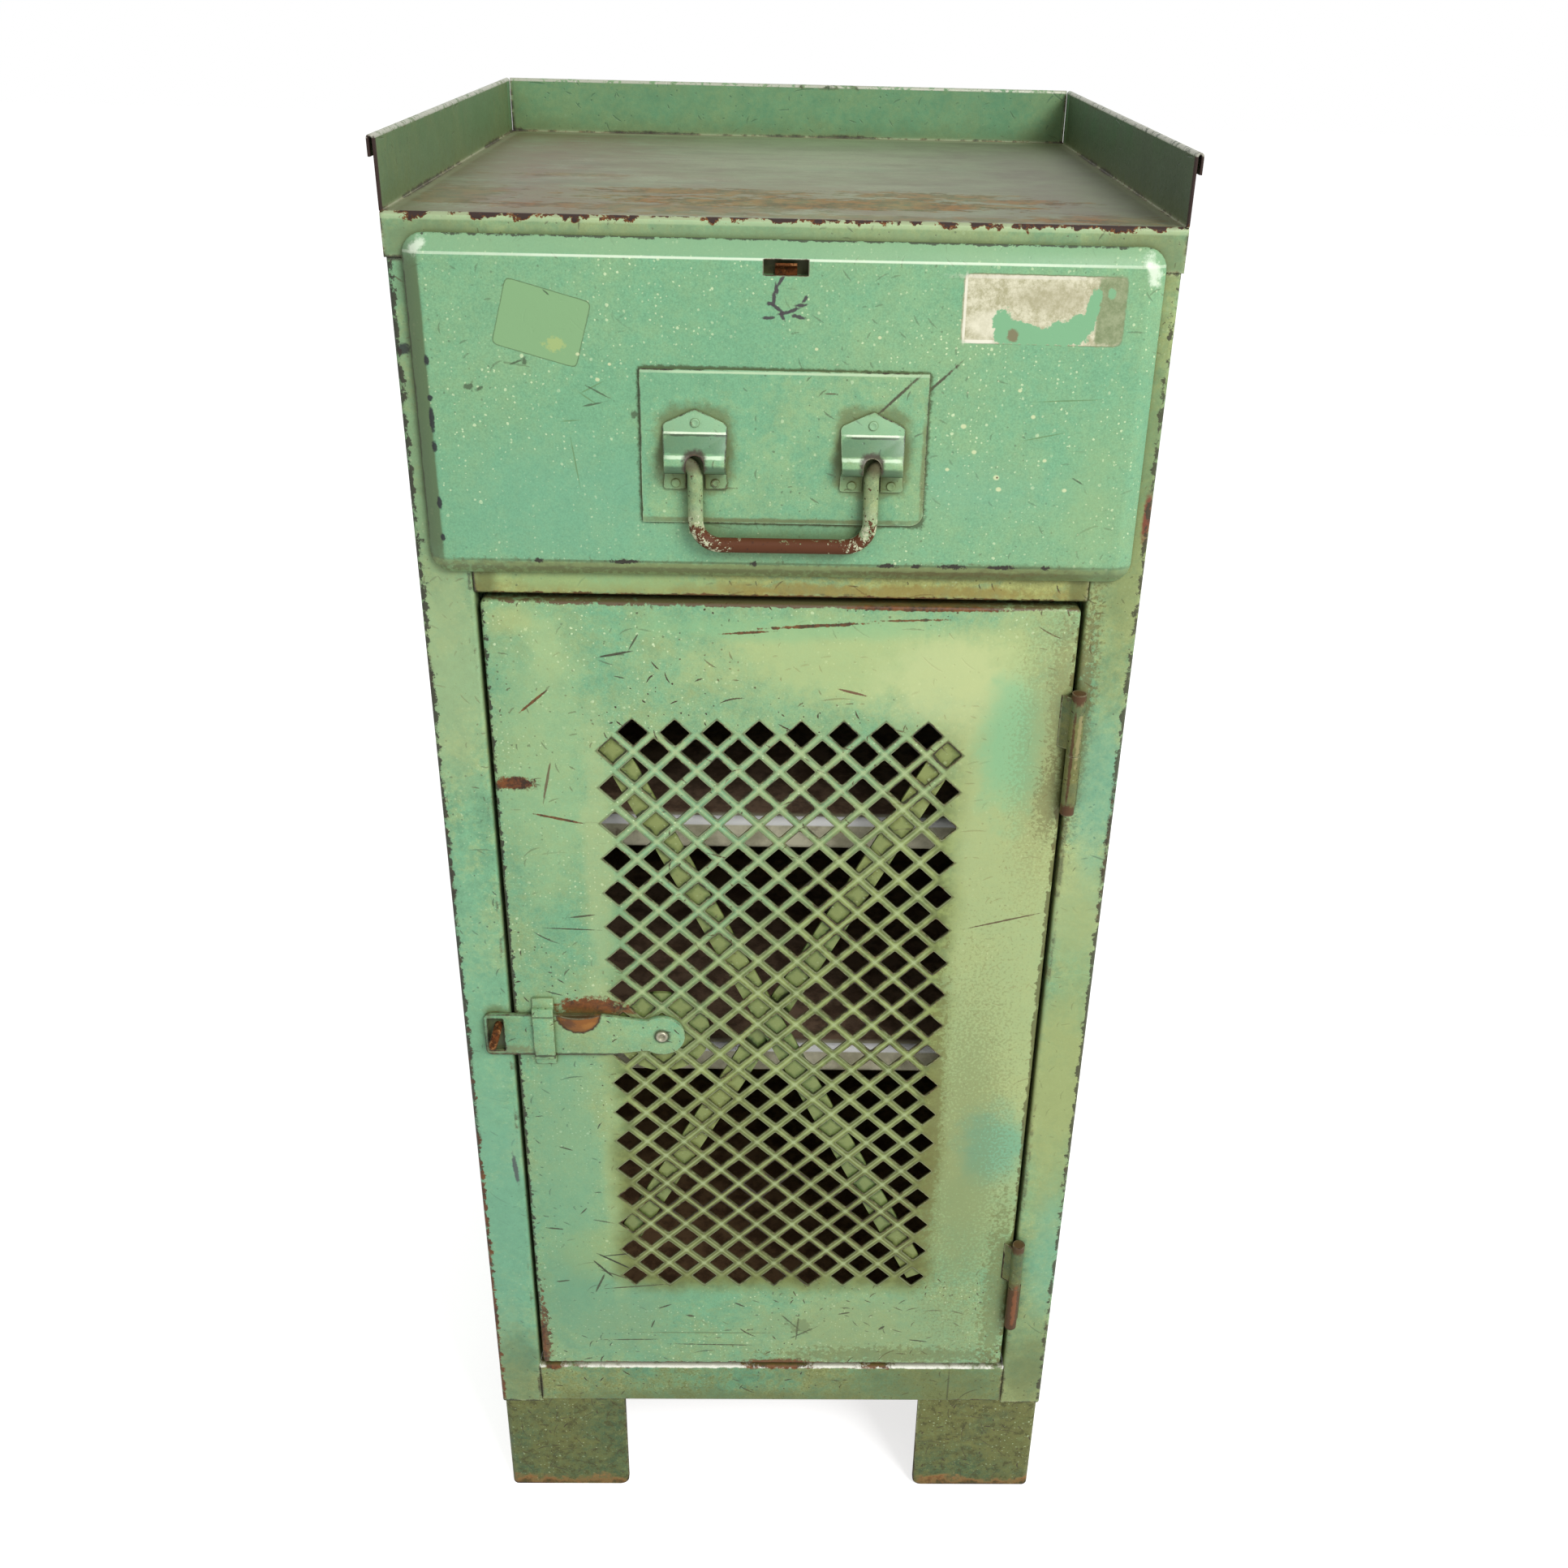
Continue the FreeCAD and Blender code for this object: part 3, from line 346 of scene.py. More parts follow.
class Finish:
    """A material as it builds up in layers, from the first coat to the dirt on top."""

    def __init__(self, name):
        self.material = bpy.data.materials.new(name)
        self.material.use_nodes = True
        self.tree = self.material.node_tree
        self.rust, _ = rust(self.tree, 0.4)
        self.metal, self.rounded = 0.0, None

    def coat(self, colour, roughness, height):
        self.colour, self.roughness, self.height = colour, roughness, height
        return self

    def lay(self, mask, colour, roughness=None, metal=None):
        """Lays a colour over what is there, wherever the mask is white."""
        self.colour = mixed(mask, self.colour, colour)
        if roughness is not None:
            self.roughness = between(mask, self.roughness, roughness)
        if metal is not None:
            self.metal = between(mask, self.metal, metal)
        return self

    def mark(self, x, z, length, width, lean, colour, strength, ragged, edge, size, corners=2):
        """A mark at x, z on the front, in millimetres, its lean in degrees. How ragged and how
        soft its outline is comes last, with the fineness of its grain and its corners."""
        box = (x / 1000, z / 1000, length / 2000, width / 2000, math.radians(lean))
        mask = struck_mark(self.tree, *box, strength, ragged, edge, size, corners)
        return self.lay(mask, self.rust if colour is RUST else colour)

    def marks(self, rows, *shared):
        """Marks by rows of what mark takes, each row followed by what they share."""
        for row in rows:
            self.mark(*row, *shared)

    def wear_edges(self, reach, wear, corner, grime=0.6, rub=0.25):
        """Grime in the corners, edges rubbed pale, then chips with rust round them."""
        chip, rusted, rubbed, grimy, self.rounded = chipped_edge(self.tree, reach, wear, corner)
        self.lay(grimy * grime, GRIME, 0.7).lay(rubbed * rub, CREAM)
        return self.lay(rusted, self.rust, 0.8).lay(chip, DARK, 0.6)

    def done(self, specular=0.4):
        """Joins the layers to the shader."""
        bump = {"Strength": 0.4, "Distance": 0.0004, "Height": self.height}
        if self.rounded:
            bump["Normal"] = self.rounded
        layers = {
            "Base Color": self.colour,
            "Roughness": self.roughness,
            "Metallic": self.metal,
            "Specular IOR Level": specular,
            "Normal": joined("ShaderNodeBump", bump),
        }
        for name, value in layers.items():
            fill(self.tree.nodes["Principled BSDF"].inputs[name], value)
        return self.material


def enamelled(name, yellowing, spatter, nicks, dirt, paint=MINT, yellowed=OLIVE, clouds=1.0):
    """The cabinet's green enamel, ready for the marks of one piece."""
    finish = Finish(name)
    ages = (yellowing, clouds, spatter, nicks, dirt)
    return finish.coat(*aged_enamel(finish.tree, paint, yellowed, *ages))


def painted(material, *starts):
    """Gives the CAD nodes whose names start so their finish."""
    for name in nodes:
        if name.startswith(starts):
            for slot in nodes[name].material_slots:
                slot.material = material


side_finish = enamelled("side enamel", 0.35, 0.4, 0.9, 0.5, clouds=0.45)
side_finish.wear_edges(0.004, 0.6, 0.03)
painted(side_finish.done(), "side", "back_panel", "rear_strip")

left_stile = enamelled("left stile enamel", 0.15, 0.5, 0.9, 0.4)
left_stile.marks([
    (-236, 1000, 40, 330, 0, (130, 148, 104), 0.6, 1.2, 0.7, 30),
    (-231, 850, 60, 170, 0, (160, 182, 130), 0.6, 1.4, 0.6, 40),
    (-236, 520, 60, 330, 0, (124, 178, 140), 0.5, 1.2, 0.6, 40),
    (-236, 300, 60, 330, 0, (112, 168, 138), 0.6, 1.2, 0.6, 40),
    (-231, 150, 60, 110, 0, GRIME, 0.55, 1.6, 0.7, 60),
    (-219, 397, 4, 32, 4, (78, 84, 84), 0.9, 1.5, 0.3, 300),
    (-223.9, 558.6, 8, 5, 0, BROWN, 1.0, 0.5, 0.3, 300),
    # Painted shadow: a near-black patch on the stile behind the hasp's slot.
    (-224.4, 540.6, 14.5, 33, 0, (34, 30, 24), 0.9, 0.4, 0.12, 200, 8),
    (-224, 562, 16, 10, 0, (96, 104, 60), 0.6, 1.6, 0.5, 200),
    (-244.5, 1083, 9, 7, 0, (38, 40, 46), 0.9, 1.6, 0.3, 300),
    (-249, 620, 4, 940, 0, DARK, 0.9, 9.0, 0.3, 130, 6),
    (-249, 250, 5, 300, 0, RUST, 0.9, 7.0, 0.3, 130, 6),
])
painted(left_stile.wear_edges(0.005, 0.62, 0.03).done(), "stile_left")

right_stile = enamelled("right stile enamel", 0.55, 0.4, 0.8, 0.45)
right_stile.marks([
    (236, 1000, 40, 300, 0, (120, 134, 82), 0.7, 1.2, 0.7, 30),
    (217, 830, 14, 170, 0, (104, 94, 48), 0.7, 6.0, 0.4, 320),
    (232, 660, 60, 90, 0, (162, 178, 122), 0.7, 1.3, 0.6, 40),
    (230, 190, 60, 110, 0, (118, 142, 96), 0.6, 1.3, 0.6, 40),
    (236, 770, 34, 130, 0, TEAL, 0.55, 1.2, 0.5, 40),
    (232, 480, 50, 300, 0, (152, 166, 106), 0.8, 1.3, 0.6, 30),
    (240, 300, 30, 130, 0, TEAL, 0.5, 1.2, 0.6, 40),
    (236, 150, 70, 90, 0, GRIME, 0.55, 1.6, 0.7, 50),
    (247, 978, 6, 36, 0, (120, 58, 40), 0.95, 1.6, 0.4, 200),
    (249, 620, 4, 940, 0, (58, 56, 38), 0.9, 9.0, 0.3, 130, 6),
])
painted(right_stile.wear_edges(0.005, 0.62, 0.03).done(), "stile_right")


# ------------------------------------------------------------------ floor and rails
# The compartment floor turns down in front as the bottom rail, and the middle rail carries
# the drawer. Both are welded between the stiles, and their fronts are more yellowed.

rail = enamelled("rail enamel", 0.85, 0.3, 0.9, 0.6, yellowed=(172, 176, 106))
rail.marks([
    (20, 922, 400, 9, 0, (140, 122, 58), 0.75, 3.0, 0.5, 110),
    (-120, 929, 170, 20, 0, (146, 178, 120), 0.7, 1.4, 0.6, 50),
    (0, 917, 420, 2.4, 0, RUST, 0.9, 6.0, 0.3, 160, 6),
    (-205, 925, 14, 40, 0, GRIME, 0.7, 1.0, 0.6, 60),
    (205, 925, 14, 40, 0, GRIME, 0.7, 1.0, 0.6, 60),
])
painted(rail.wear_edges(0.004, 0.6, 0.03).done(), "middle_rail")

bottom = enamelled("bottom rail enamel", 0.4, 0.3, 1.0, 0.9, (108, 158, 118), (148, 158, 100))
bottom.marks([
    (150, 138, 170, 60, 0, (96, 106, 60), 0.65, 1.4, 0.7, 50),
    (-60, 122, 300, 18, 0, (100, 110, 66), 0.6, 1.6, 0.7, 60),
    (0, 161.5, 420, 3, 0, RUST, 0.8, 6.0, 0.3, 140, 6),
    # The rail's top edge is worn to bare metal; its near-white line is also a painted highlight.
    (0, 160.6, 402, 2.6, 0, (246, 246, 232), 1.0, 2.2, 0.3, 110, 8),
    (6, 161.5, 60, 6, 0, RUST, 1.0, 3.0, 0.3, 180),
    (95, 161.5, 26, 5, 0, RUST, 1.0, 4.0, 0.3, 180),
    (-200, 160, 16, 8, 0, RUST, 1.0, 3.0, 0.3, 180),
    (163, 136, 1.6, 44, 0, (70, 72, 44), 0.7, 1.2, 0.5, 200),
])
bottom.wear_edges(0.004, 0.62, 0.03)
place = object_place(bottom.tree)
browns = mixed(rise(grain(place, 32.0, 6.0, 0.75), 0.4, 0.6), (96, 70, 46), (136, 106, 74))
bottom.lay(rise(parts_of(place).y, -0.232, -0.226), browns, 0.8)
painted(bottom.done(), "bottom_pan")


# ------------------------------------------------------------------ feet
# Four feet of 4 mm plate, bent to an angle and welded inside the corners of the shell.
# They have been kicked, mopped and dragged: dark olive grime, with rust along the floor.

foot_paint = enamelled("foot enamel", 0.55, 0.5, 1.0, 0.9, (80, 106, 66), (112, 112, 58))
place = object_place(foot_paint.tree)
blots = grain(place, 120.0, 6.0, 0.8)
foot_paint.lay(rise(blots, 0.52, 0.6) * 0.8, (76, 76, 42), 0.8)
foot_paint.lay(rise(blots, 0.44, 0.36) * 0.7, (118, 130, 80), 0.6)
scraped = scratches(foot_paint.tree, 60.0, 0.5, 0.03, 0.0012, 0.3, 3.1)
foot_paint.lay(scraped * 0.6, (66, 58, 36))
height = grain(place, 60.0, 5.0, 0.7) * 0.05 + parts_of(place).z
foot_paint.lay(rise(height, 0.038, 0.024), (168, 112, 66), 0.85)
foot_paint.lay(rise(height, 0.03, 0.022), foot_paint.rust, 0.85)
painted(foot_paint.wear_edges(0.004, 0.6, 0.03).done(), "foot")


# ------------------------------------------------------------------ shelves
# Two loose shelves of unpainted sheet with rolled front lips, on angles welded to the
# sides. The steel has gone dull grey-brown, with a painted highlight along each lip.

bare = Finish("bare shelf steel")
place = object_place(bare.tree)
at = parts_of(place)
dull = grain(place, 30.0, 5.0, 0.65)
rolled = grain(drawn_out(place, 14.0, 260.0, 260.0), 1.0, 3.0)
steel_colour = mixed(rise(dull, 0.35, 0.65), (176, 170, 140), (232, 226, 196))
bare.coat(steel_colour, dull * 0.3 + 0.35, rolled)
bare.metal = 0.1
stained = higher(rise(grain(place, 12.0, 5.0, 0.7), 0.56, 0.66), rise(at.y, -0.194, -0.186))
browns = mixed(rise(grain(place, 38.0, 6.0, 0.75), 0.4, 0.6), (90, 64, 46), (134, 106, 84))
bare.lay(stained * 0.95, browns, 0.85, 0.0)
upper_lip, lower_lip, lips_front = 0.7145, 0.4945, -0.194
upper, lower = [rise(abs(at.z - lip), 0.005, 0.0032) for lip in (upper_lip, lower_lip)]
along_lips = rise(at.y, lips_front + 0.0015, lips_front) * clamped(upper + lower)
# Painted highlight: a near-white line along the top of each rolled lip.
bare.lay(along_lips, (255, 255, 252), 0.3, 0.0)
painted(bare.done(), "shelf_upper", "shelf_lower")
angle_paint = enamelled("angle enamel", 0.5, 0.2, 0.5, 0.7).wear_edges(0.0025, 0.6, 0.02)
painted(angle_paint.done(), "shelf_rail")


# ------------------------------------------------------------------ tray top
# The worktop is one sheet with a lip in front and hemmed upstands on the other sides. Work
# has worn the floor of the tray to grey-brown steel with orange rust towards the front.

tray = enamelled("tray enamel", 0.4, 0.35, 0.9, 0.55)
place = object_place(tray.tree)
at = parts_of(place)
worktop, hem_top = 1.1665, 1.2085
inner_side, outer_side = 0.2455, 0.247
above = at.z > worktop + 0.001
# Painted shade: the inner faces of the upstands are darkened, the right one most and the back one
# least.
tray.lay(rise(at.x, -inner_side, -outer_side) * above * 0.85, (88, 108, 70))
tray.lay(rise(at.x, inner_side, outer_side) * above * 0.95, (50, 68, 46))
tray.lay(rise(at.y, 0.244, 0.246) * above * 0.7, (98, 144, 106))

floor_level = abs(at.z - worktop) < 0.0012
broad = grain(drawn_out(place, 8.0, 24.0, 8.0), 1.0, 5.0, 0.68, 0.25)
narrow = grain(drawn_out(place, 60.0, 150.0, 60.0), 1.0, 4.0, 0.65)
blotches = grain(place, 9.0, 6.0, 0.7)
green_left = clamped(rise(at.y, 0.02, 0.25) + rise(blotches, 0.5, 0.64))
brown = clamped(rise(at.y, 0.06, -0.2) + rise(at.x, 0.04, -0.26))
brown = brown * rise(narrow * 0.4 + blotches, 0.58, 0.74)
grit = rise(grain(place, 420.0, 4.0, 0.7), 0.4, 0.6)
worn = mixed(rise(broad, 0.36, 0.64), (88, 80, 60), (132, 132, 108))
for share, colour in (
    (rise(narrow, 0.5, 0.66) * 0.4, (150, 150, 124)),
    (green_left * 0.55, (112, 134, 102)),
    (brown * 0.85, (104, 70, 48)),
    (grit * 0.35, (84, 80, 62)),
    (rise(at.x, 0.02, 0.22) * 0.8, (84, 78, 62)),
):
    worn = mixed(share, worn, colour)
tray.lay(floor_level, worn, 0.5, 0.1)

# Smears of orange rust, each at x, y, with its length, width and strength.
orange, _ = rust(tray.tree, 0.9)
for x, y, length, width, strength in (
    (0.02, -0.165, 0.150, 0.028, 1.0),
    (-0.06, -0.120, 0.090, 0.016, 0.8),
    (0.09, -0.118, 0.070, 0.018, 0.8),
    (0.16, -0.140, 0.050, 0.012, 0.7),
    (-0.15, -0.045, 0.060, 0.012, 0.4),
    (0.13, -0.165, 0.060, 0.012, 0.6),
    (-0.10, -0.200, 0.150, 0.018, 0.55),
    (0.06, -0.225, 0.200, 0.012, 0.5),
    (0.20, -0.215, 0.050, 0.020, 0.45),
    (-0.22, -0.160, 0.030, 0.060, 0.45),
):
    dx, dy = (at.x - x) / length, (at.y - y) / width
    far = (narrow - 0.5) * 3.4 + (dx * dx + dy * dy) ** 0.5
    far = (broad - 0.5) * 2.2 + far
    tray.lay(rise(far, 1.0, 0.75) * strength * floor_level, orange, 0.8, 0.0)

dusty = higher(rise(abs(at.x), 0.2405, 0.2445), rise(at.y, 0.2405, 0.245))
tray.lay(dusty * floor_level * 0.45, (168, 172, 144), 0.7)
tray.marks([
    (0, 1152, 500, 30, 0, (134, 156, 112), 0.75, 1.0, 0.7, 26),
    (0, 1141, 500, 8, 0, (104, 128, 86), 0.6, 0.8, 0.6, 60, 8),
    (-225, 1150, 60, 40, 0, (112, 128, 88), 0.6, 1.2, 0.7, 40),
    (225, 1150, 60, 40, 0, (110, 124, 84), 0.6, 1.2, 0.7, 40),
])
tray.wear_edges(0.005, 0.5, 0.03, 0.5)

at_front = rise(at.y, -0.236, -0.2376)
flaked = grain(place, 170.0, 5.0, 0.7)
hanging = (flaked - 0.5) * 0.016 + at.z
hanging = (grain(place, 75.0, 3.0) - 0.5) * 0.018 + hanging
tray.lay(rise(at.z, 1.1618, 1.1634) * at_front * 0.5, (186, 206, 160))
tray.lay(rise(hanging, 1.165, 1.1656) * at_front, tray.rust, 0.7, 0.2)
tray.lay(rise(hanging, 1.1662, 1.1668) * at_front, (52, 36, 30), 0.7, 0.2)
bared_hem = (at.z > hem_top) * rise(flaked, 0.6, 0.5)
tray.lay(bared_hem * 0.85, (186, 186, 170), 0.4, 0.5)
painted(tray.done(), "tray_top")


# ------------------------------------------------------------------ drawer
# The drawer is a plain welded box of sheet that slides on two stepped runners. Its front is
# a pressed pan, bevelled all round, with a slot near the top where a lock used to be.

greens = (112, 150, 118), (140, 146, 100)
inside_paint = enamelled("drawer inside", 0.5, 0.15, 0.3, 0.6, *greens, clouds=0.4)
inside_paint = inside_paint.wear_edges(0.0025, 0.7, 0.03).done()
painted(inside_paint, "drawer_runner", "drawer_bottom", "drawer_side", "drawer_rim")
painted(inside_paint, "drawer_end", "drawer_stop")

pan_half, pan_low, pan_high = 0.239, 0.9335, 1.1555
pan_back, pan_corner, pan_return = -0.2408, 0.014, 0.040
sheet = 0.0015


def rounded_ring(half_width, low, high, inset, corner, y, steps=6):
    """Points round an upright rectangle, drawn in by an inset, with round corners."""
    right, bottom, top = half_width - inset - corner, low + inset + corner, high - inset - corner
    middles = ((right, bottom), (right, top), (-right, top), (-right, bottom))
    points = []
    for quarter, (x, z) in enumerate(middles):
        for i in range(steps + 1):
            angle = math.radians(90 * (quarter - 1) + 90 * i / steps)
            points.append((x + corner * math.cos(angle), y, z + corner * math.sin(angle)))
    return points


def in_scene(name, data):
    """Puts a mesh, a lamp or a camera into the scene."""
    piece = bpy.data.objects.new(name, data)
    bpy.context.scene.collection.objects.link(piece)
    return piece


def piece_of(name, corners, faces):
    """A piece in the scene, from its corners and faces."""
    mesh = bpy.data.meshes.new(name)
    mesh.from_pydata(corners, [], faces)
    return in_scene(name, mesh)


def piece_drawn(name, drawing):
    """A piece in the scene, from a drawing that is done with."""
    mesh = bpy.data.meshes.new(name)
    drawing.to_mesh(mesh)
    drawing.free()
    return in_scene(name, mesh)


def skin_through(name, rings, close_first=False, close_last=False):
    """A sheet of faces through rings with the same number of points."""
    count = len(rings[0])
    total = count * len(rings)
    faces = []
    for start in range(0, total - count, count):
        for i in range(count):
            near, far = start + i, start + (i + 1) % count
            faces.append((near, far, far + count, near + count))
    if close_first:
        faces.append(tuple(range(count))[::-1])
    if close_last:
        faces.append(tuple(range(total - count, total)))
    return piece_of(name, [point for ring in rings for point in ring], faces)


def made_plain(piece):
    """Applies what a piece's modifiers do to its mesh."""
    depsgraph = bpy.context.evaluated_depsgraph_get()
    piece.data = bpy.data.meshes.new_from_object(piece.evaluated_get(depsgraph))
    piece.modifiers.clear()


def soften(piece, width):
    """Rounds the sharp edges of a piece a little."""
    edge = piece.modifiers.new("soft edges", "BEVEL")
    edge.width, edge.segments = width, 2
    edge.limit_method, edge.angle_limit = "ANGLE", math.radians(40)


def thickened(piece, gauge, even=False):
    """Gives a skin its gauge, behind it."""
    thick = piece.modifiers.new("gauge", "SOLIDIFY")
    thick.thickness, thick.offset, thick.use_even_offset = gauge, -1.0, even
    made_plain(piece)
    return piece


def cut_away(piece, cutter):
    """Cuts one piece's shape out of another, and throws the cutter away."""
    cut = piece.modifiers.new("cut", "BOOLEAN")
    cut.object, cut.solver = cutter, "EXACT"
    made_plain(piece)
    bpy.data.objects.remove(cutter)


def finished(piece, material, body, *replaced, smooth=35, slot="green_paint"):
    """Makes a piece plain, and gives it its finish and its body."""
    made_plain(piece)
    mesh = piece.data
    mesh.materials.clear()
    mesh.materials.append(material)
    mesh.shade_smooth()
    mesh.set_sharp_from_angle(angle=math.radians(smooth))
    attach(piece, body)
    if replaced:
        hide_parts(*replaced)


rings = [rounded_ring(pan_half, pan_low, pan_high, pan_return, 0.003, pan_back)]
for inset, depth in (
    (0.0016, 0.0),
    (0.0006, 0.0004),
    (0.0, 0.0014),
    (0.0, 0.0028),
    (0.0006, 0.0038),
    (0.0100, 0.0090),
    (0.0112, 0.00945),
    (0.0126, 0.0096),
):
    corner = max(pan_corner - inset, 0.003)
    rings.append(rounded_ring(pan_half, pan_low, pan_high, inset, corner, pan_back - depth))
drawer_front = thickened(skin_through("drawer_front_pressed", rings, close_last=True), sheet)
slot_box = (-0.014, 0.014), (-0.26, -0.2425), (1.135, 1.1445)
slot_corners = [(x, y, z) for x in slot_box[0] for y in slot_box[1] for z in slot_box[2]]
box_faces = [(0, 1, 3, 2), (4, 6, 7, 5), (0, 4, 5, 1), (2, 3, 7, 6), (0, 2, 6, 4), (1, 5, 7, 3)]
cut_away(drawer_front, piece_of("lock_slot_cutter", slot_corners, box_faces))

pan = enamelled("drawer front enamel", 0.12, 0.9, 0.35, 0.15, clouds=0.22)
pan.marks([
    (-150, 985, 150, 90, 0, TEAL, 0.3, 1.2, 0.7, 40),
    (40, 1000, 260, 40, 0, TEAL, 0.35, 1.2, 0.7, 40),
    (205, 985, 36, 90, 0, (150, 176, 120), 0.3, 1.4, 0.7, 40),
    # Painted shade: the left bevel, facing away from the light, is darkened.
    (-234, 1044, 11, 210, 0, (96, 116, 78), 0.9, 0.35, 0.16, 90, 12),
    (-239, 1044, 2, 214, 0, (58, 60, 40), 0.8, 3.0, 0.5, 140, 12),
    (0, 938, 476, 12, 0, (124, 134, 82), 0.8, 0.7, 0.35, 60, 12),
    (150, 940, 170, 12, 0, (96, 100, 58), 0.7, 1.2, 0.6, 70),
    (110, 940.5, 120, 8, 0, (108, 98, 54), 0.65, 5.0, 0.4, 260),
    (-60, 939.5, 340, 9, 0, (92, 84, 48), 0.55, 6.0, 0.4, 220, 6),
    (0, 942, 452, 4, 0, (150, 172, 112), 0.5, 3.0, 0.6, 120, 8),
    # Painted light: the top bevel is given the lighter tone of a face lit from above.
    (0, 1151, 470, 11, 0, (130, 168, 126), 0.75, 0.35, 0.16, 60, 12),
    (0, 1155.6, 470, 1.6, 0, DARK, 0.85, 7.0, 0.3, 190, 12),
    # Painted highlights: a bright line along the top crease, partly rubbed paint, and pale glints
    # at the upper corners.
    (0, 1144.4, 452, 1.5, 0, (226, 240, 214), 0.8, 0.5, 0.5, 30, 12),
    (-229, 1148, 13, 6, 40, (232, 244, 222), 0.7, 3.0, 0.5, 160),
    (230, 1142, 8, 18, 20, (232, 244, 222), 0.7, 3.0, 0.5, 160),
    (0, 945, 452, 1.6, 0, (88, 112, 74), 0.7, 1.4, 0.5, 90, 12),
])
chips = ((-107, 18), (72, 14), (91, 6), (115, 18), (149, 16), (-20, 5), (180, 6), (-165, 7))
pan.marks([(x, 944.8, length, 3.2, 0) for x, length in chips], DARK, 0.95, 4.0, 0.3, 300)
nicks = ((1078, 6), (1054, 4), (1040, 16), (1022, 7), (984, 8), (960, 5))
pan.marks([(-228.2, z, 3.5, size, 0) for z, size in nicks], (40, 42, 46), 0.95, 1.6, 0.3, 260)
pan.marks([
    (-154, 1103, 55, 43, -15.4, (84, 104, 66), 0.85, 0.05, 0.012, 300, 16),
    (-154, 1103, 54, 42, -15.4, (132, 172, 122), 1.0, 0.03, 0.012, 300, 16),
    (-146, 1090, 12, 9, 0, (176, 190, 116), 0.6, 3.0, 0.3, 260),
    # Painted shade: the lock slot's walls and rim are near black.
    (0, 1139.8, 29, 10.4, 0, (34, 26, 22), 1.0, 0.08, 0.04, 300, 16),
])
glue = rise(grain(object_place(pan.tree), 190.0, 6.0, 0.8), 0.34, 0.66)
mottled = mixed(glue, (168, 164, 128), (218, 214, 186))
thin_glue = mixed(glue, (122, 136, 96), (152, 162, 124))
pan.marks([
    (163, 1117, 103, 43.6, -0.5, (104, 110, 76), 0.9, 0.05, 0.02, 200, 16),
    (162.7, 1116.9, 102, 42.6, -0.5, mottled, 1.0, 0.05, 0.02, 200, 16),
    (130, 1107, 28, 17, 0, (232, 228, 204), 0.6, 0.6, 0.4, 90),
    (170, 1124, 50, 16, 0, (172, 166, 134), 0.5, 0.9, 0.5, 90),
    (113, 1117, 1.6, 41, 0, (232, 228, 208), 0.9, 0.2, 0.2, 200, 8),
    (123, 1096.8, 20, 2.2, 0, (236, 232, 214), 0.9, 0.5, 0.3, 200, 8),
    (150, 1137, 70, 2, 0, (226, 222, 204), 0.6, 2.0, 0.5, 200, 8),
    (205.5, 1117, 18, 42.6, 0, thin_glue, 1.0, 0.3, 0.10, 200, 8),
])
bared = (124, 176, 132)
bared_places = (
    (138, 1106, 13, 21, 12),
    (157, 1100.5, 44, 11, 0),
    (152, 1105, 20, 8, -14),
    (179, 1103, 27, 16, 8),
    (193.5, 1116, 8, 30, -10),
    (186, 1108, 12, 14, 0),
)
pan.marks(bared_places, bared, 1.0, 1.3, 0.08, 260, 3)
pan.mark(144.5, 1101, 7, 8, 20, (126, 114, 84), 0.9, 1.2, 0.2, 260)
pan.mark(205, 1128, 5, 7, 0, bared, 0.9, 1.2, 0.2, 260)
craze = (
    (-3, 1132, 9, 2.3, 60),
    (-6, 1127, 7, 2.3, 100),
    (-7.5, 1121, 9, 2.3, 85),
    (-5, 1115, 8, 2.3, -40),
    (-1, 1112, 8, 2.3, 10),
    (5, 1114, 9, 2.3, 25),
    (9, 1117, 8, 2.3, 5),
    (8, 1110, 9, 2.3, -12),
    (-2, 1110, 6, 2.3, -60),
    (-11, 1109, 8, 2.3, 4),
    (12, 1121, 5, 2.3, 60),
    (-10, 1118, 4, 2.3, 10),
)
pan.marks(craze, (66, 60, 64), 0.95, 2.2, 0.3, 320)
pan.mark(99, 1070, 34, 1.8, 44, (70, 60, 46), 0.9, 2.6, 0.4, 300)
hairlines = (
    (-124, 1063, 16, 0.9, 28),
    (-127, 1056, 12, 0.9, -35),
    (-137, 1014, 34, 0.9, -82),
    (-139, 1041, 12, 0.9, 5),
    (184, 1060, 40, 0.9, 3),
    (170, 1036, 26, 0.9, 12),
)
pan.marks(hairlines, (98, 130, 84), 0.7, 1.0, 0.4, 300)
scuffs = (
    (-120, 1060, 17, 1.2, -28),
    (-124, 1052, 14, 1.2, 12),
    (-203, 1062, 6, 3.5, 0),
    (-196, 1061, 5, 2.5, 30),
    (-97, 1046, 4, 5, 0),
    (-172, 1078, 7, 1.4, 20),
    (-166, 1079, 3, 5, 0),
    (46, 1040, 5, 3, 0),
    (196, 1006, 9, 1.2, -30),
    (-150, 1122, 5, 1, -40),
)
pan.marks(scuffs, (74, 92, 66), 0.85, 2.6, 0.3, 320)
splashes = (
    (117, 1042, 3.6), (125, 1025, 3.2), (143, 1000, 3.6), (141, 1008, 4), (162, 1049, 3),
    (152, 1066, 2.6), (172, 1020, 2.6), (108, 1013, 2.6), (-120, 1068, 2.8),
    (-112, 1078, 2.2), (-132, 1084, 2.4), (187, 1000, 3), (60, 1098, 2.4), (20, 1090, 2.2),
)
round_ones = [(x, z, size, size * 0.85, 0) for x, z, size in splashes]
pan.marks(round_ones, (206, 216, 168), 0.9, 0.5, 0.3, 400)
pan.mark(141.5, 1008, 1.4, 1.4, 0, BROWN, 0.9, 0.4, 0.3, 400)
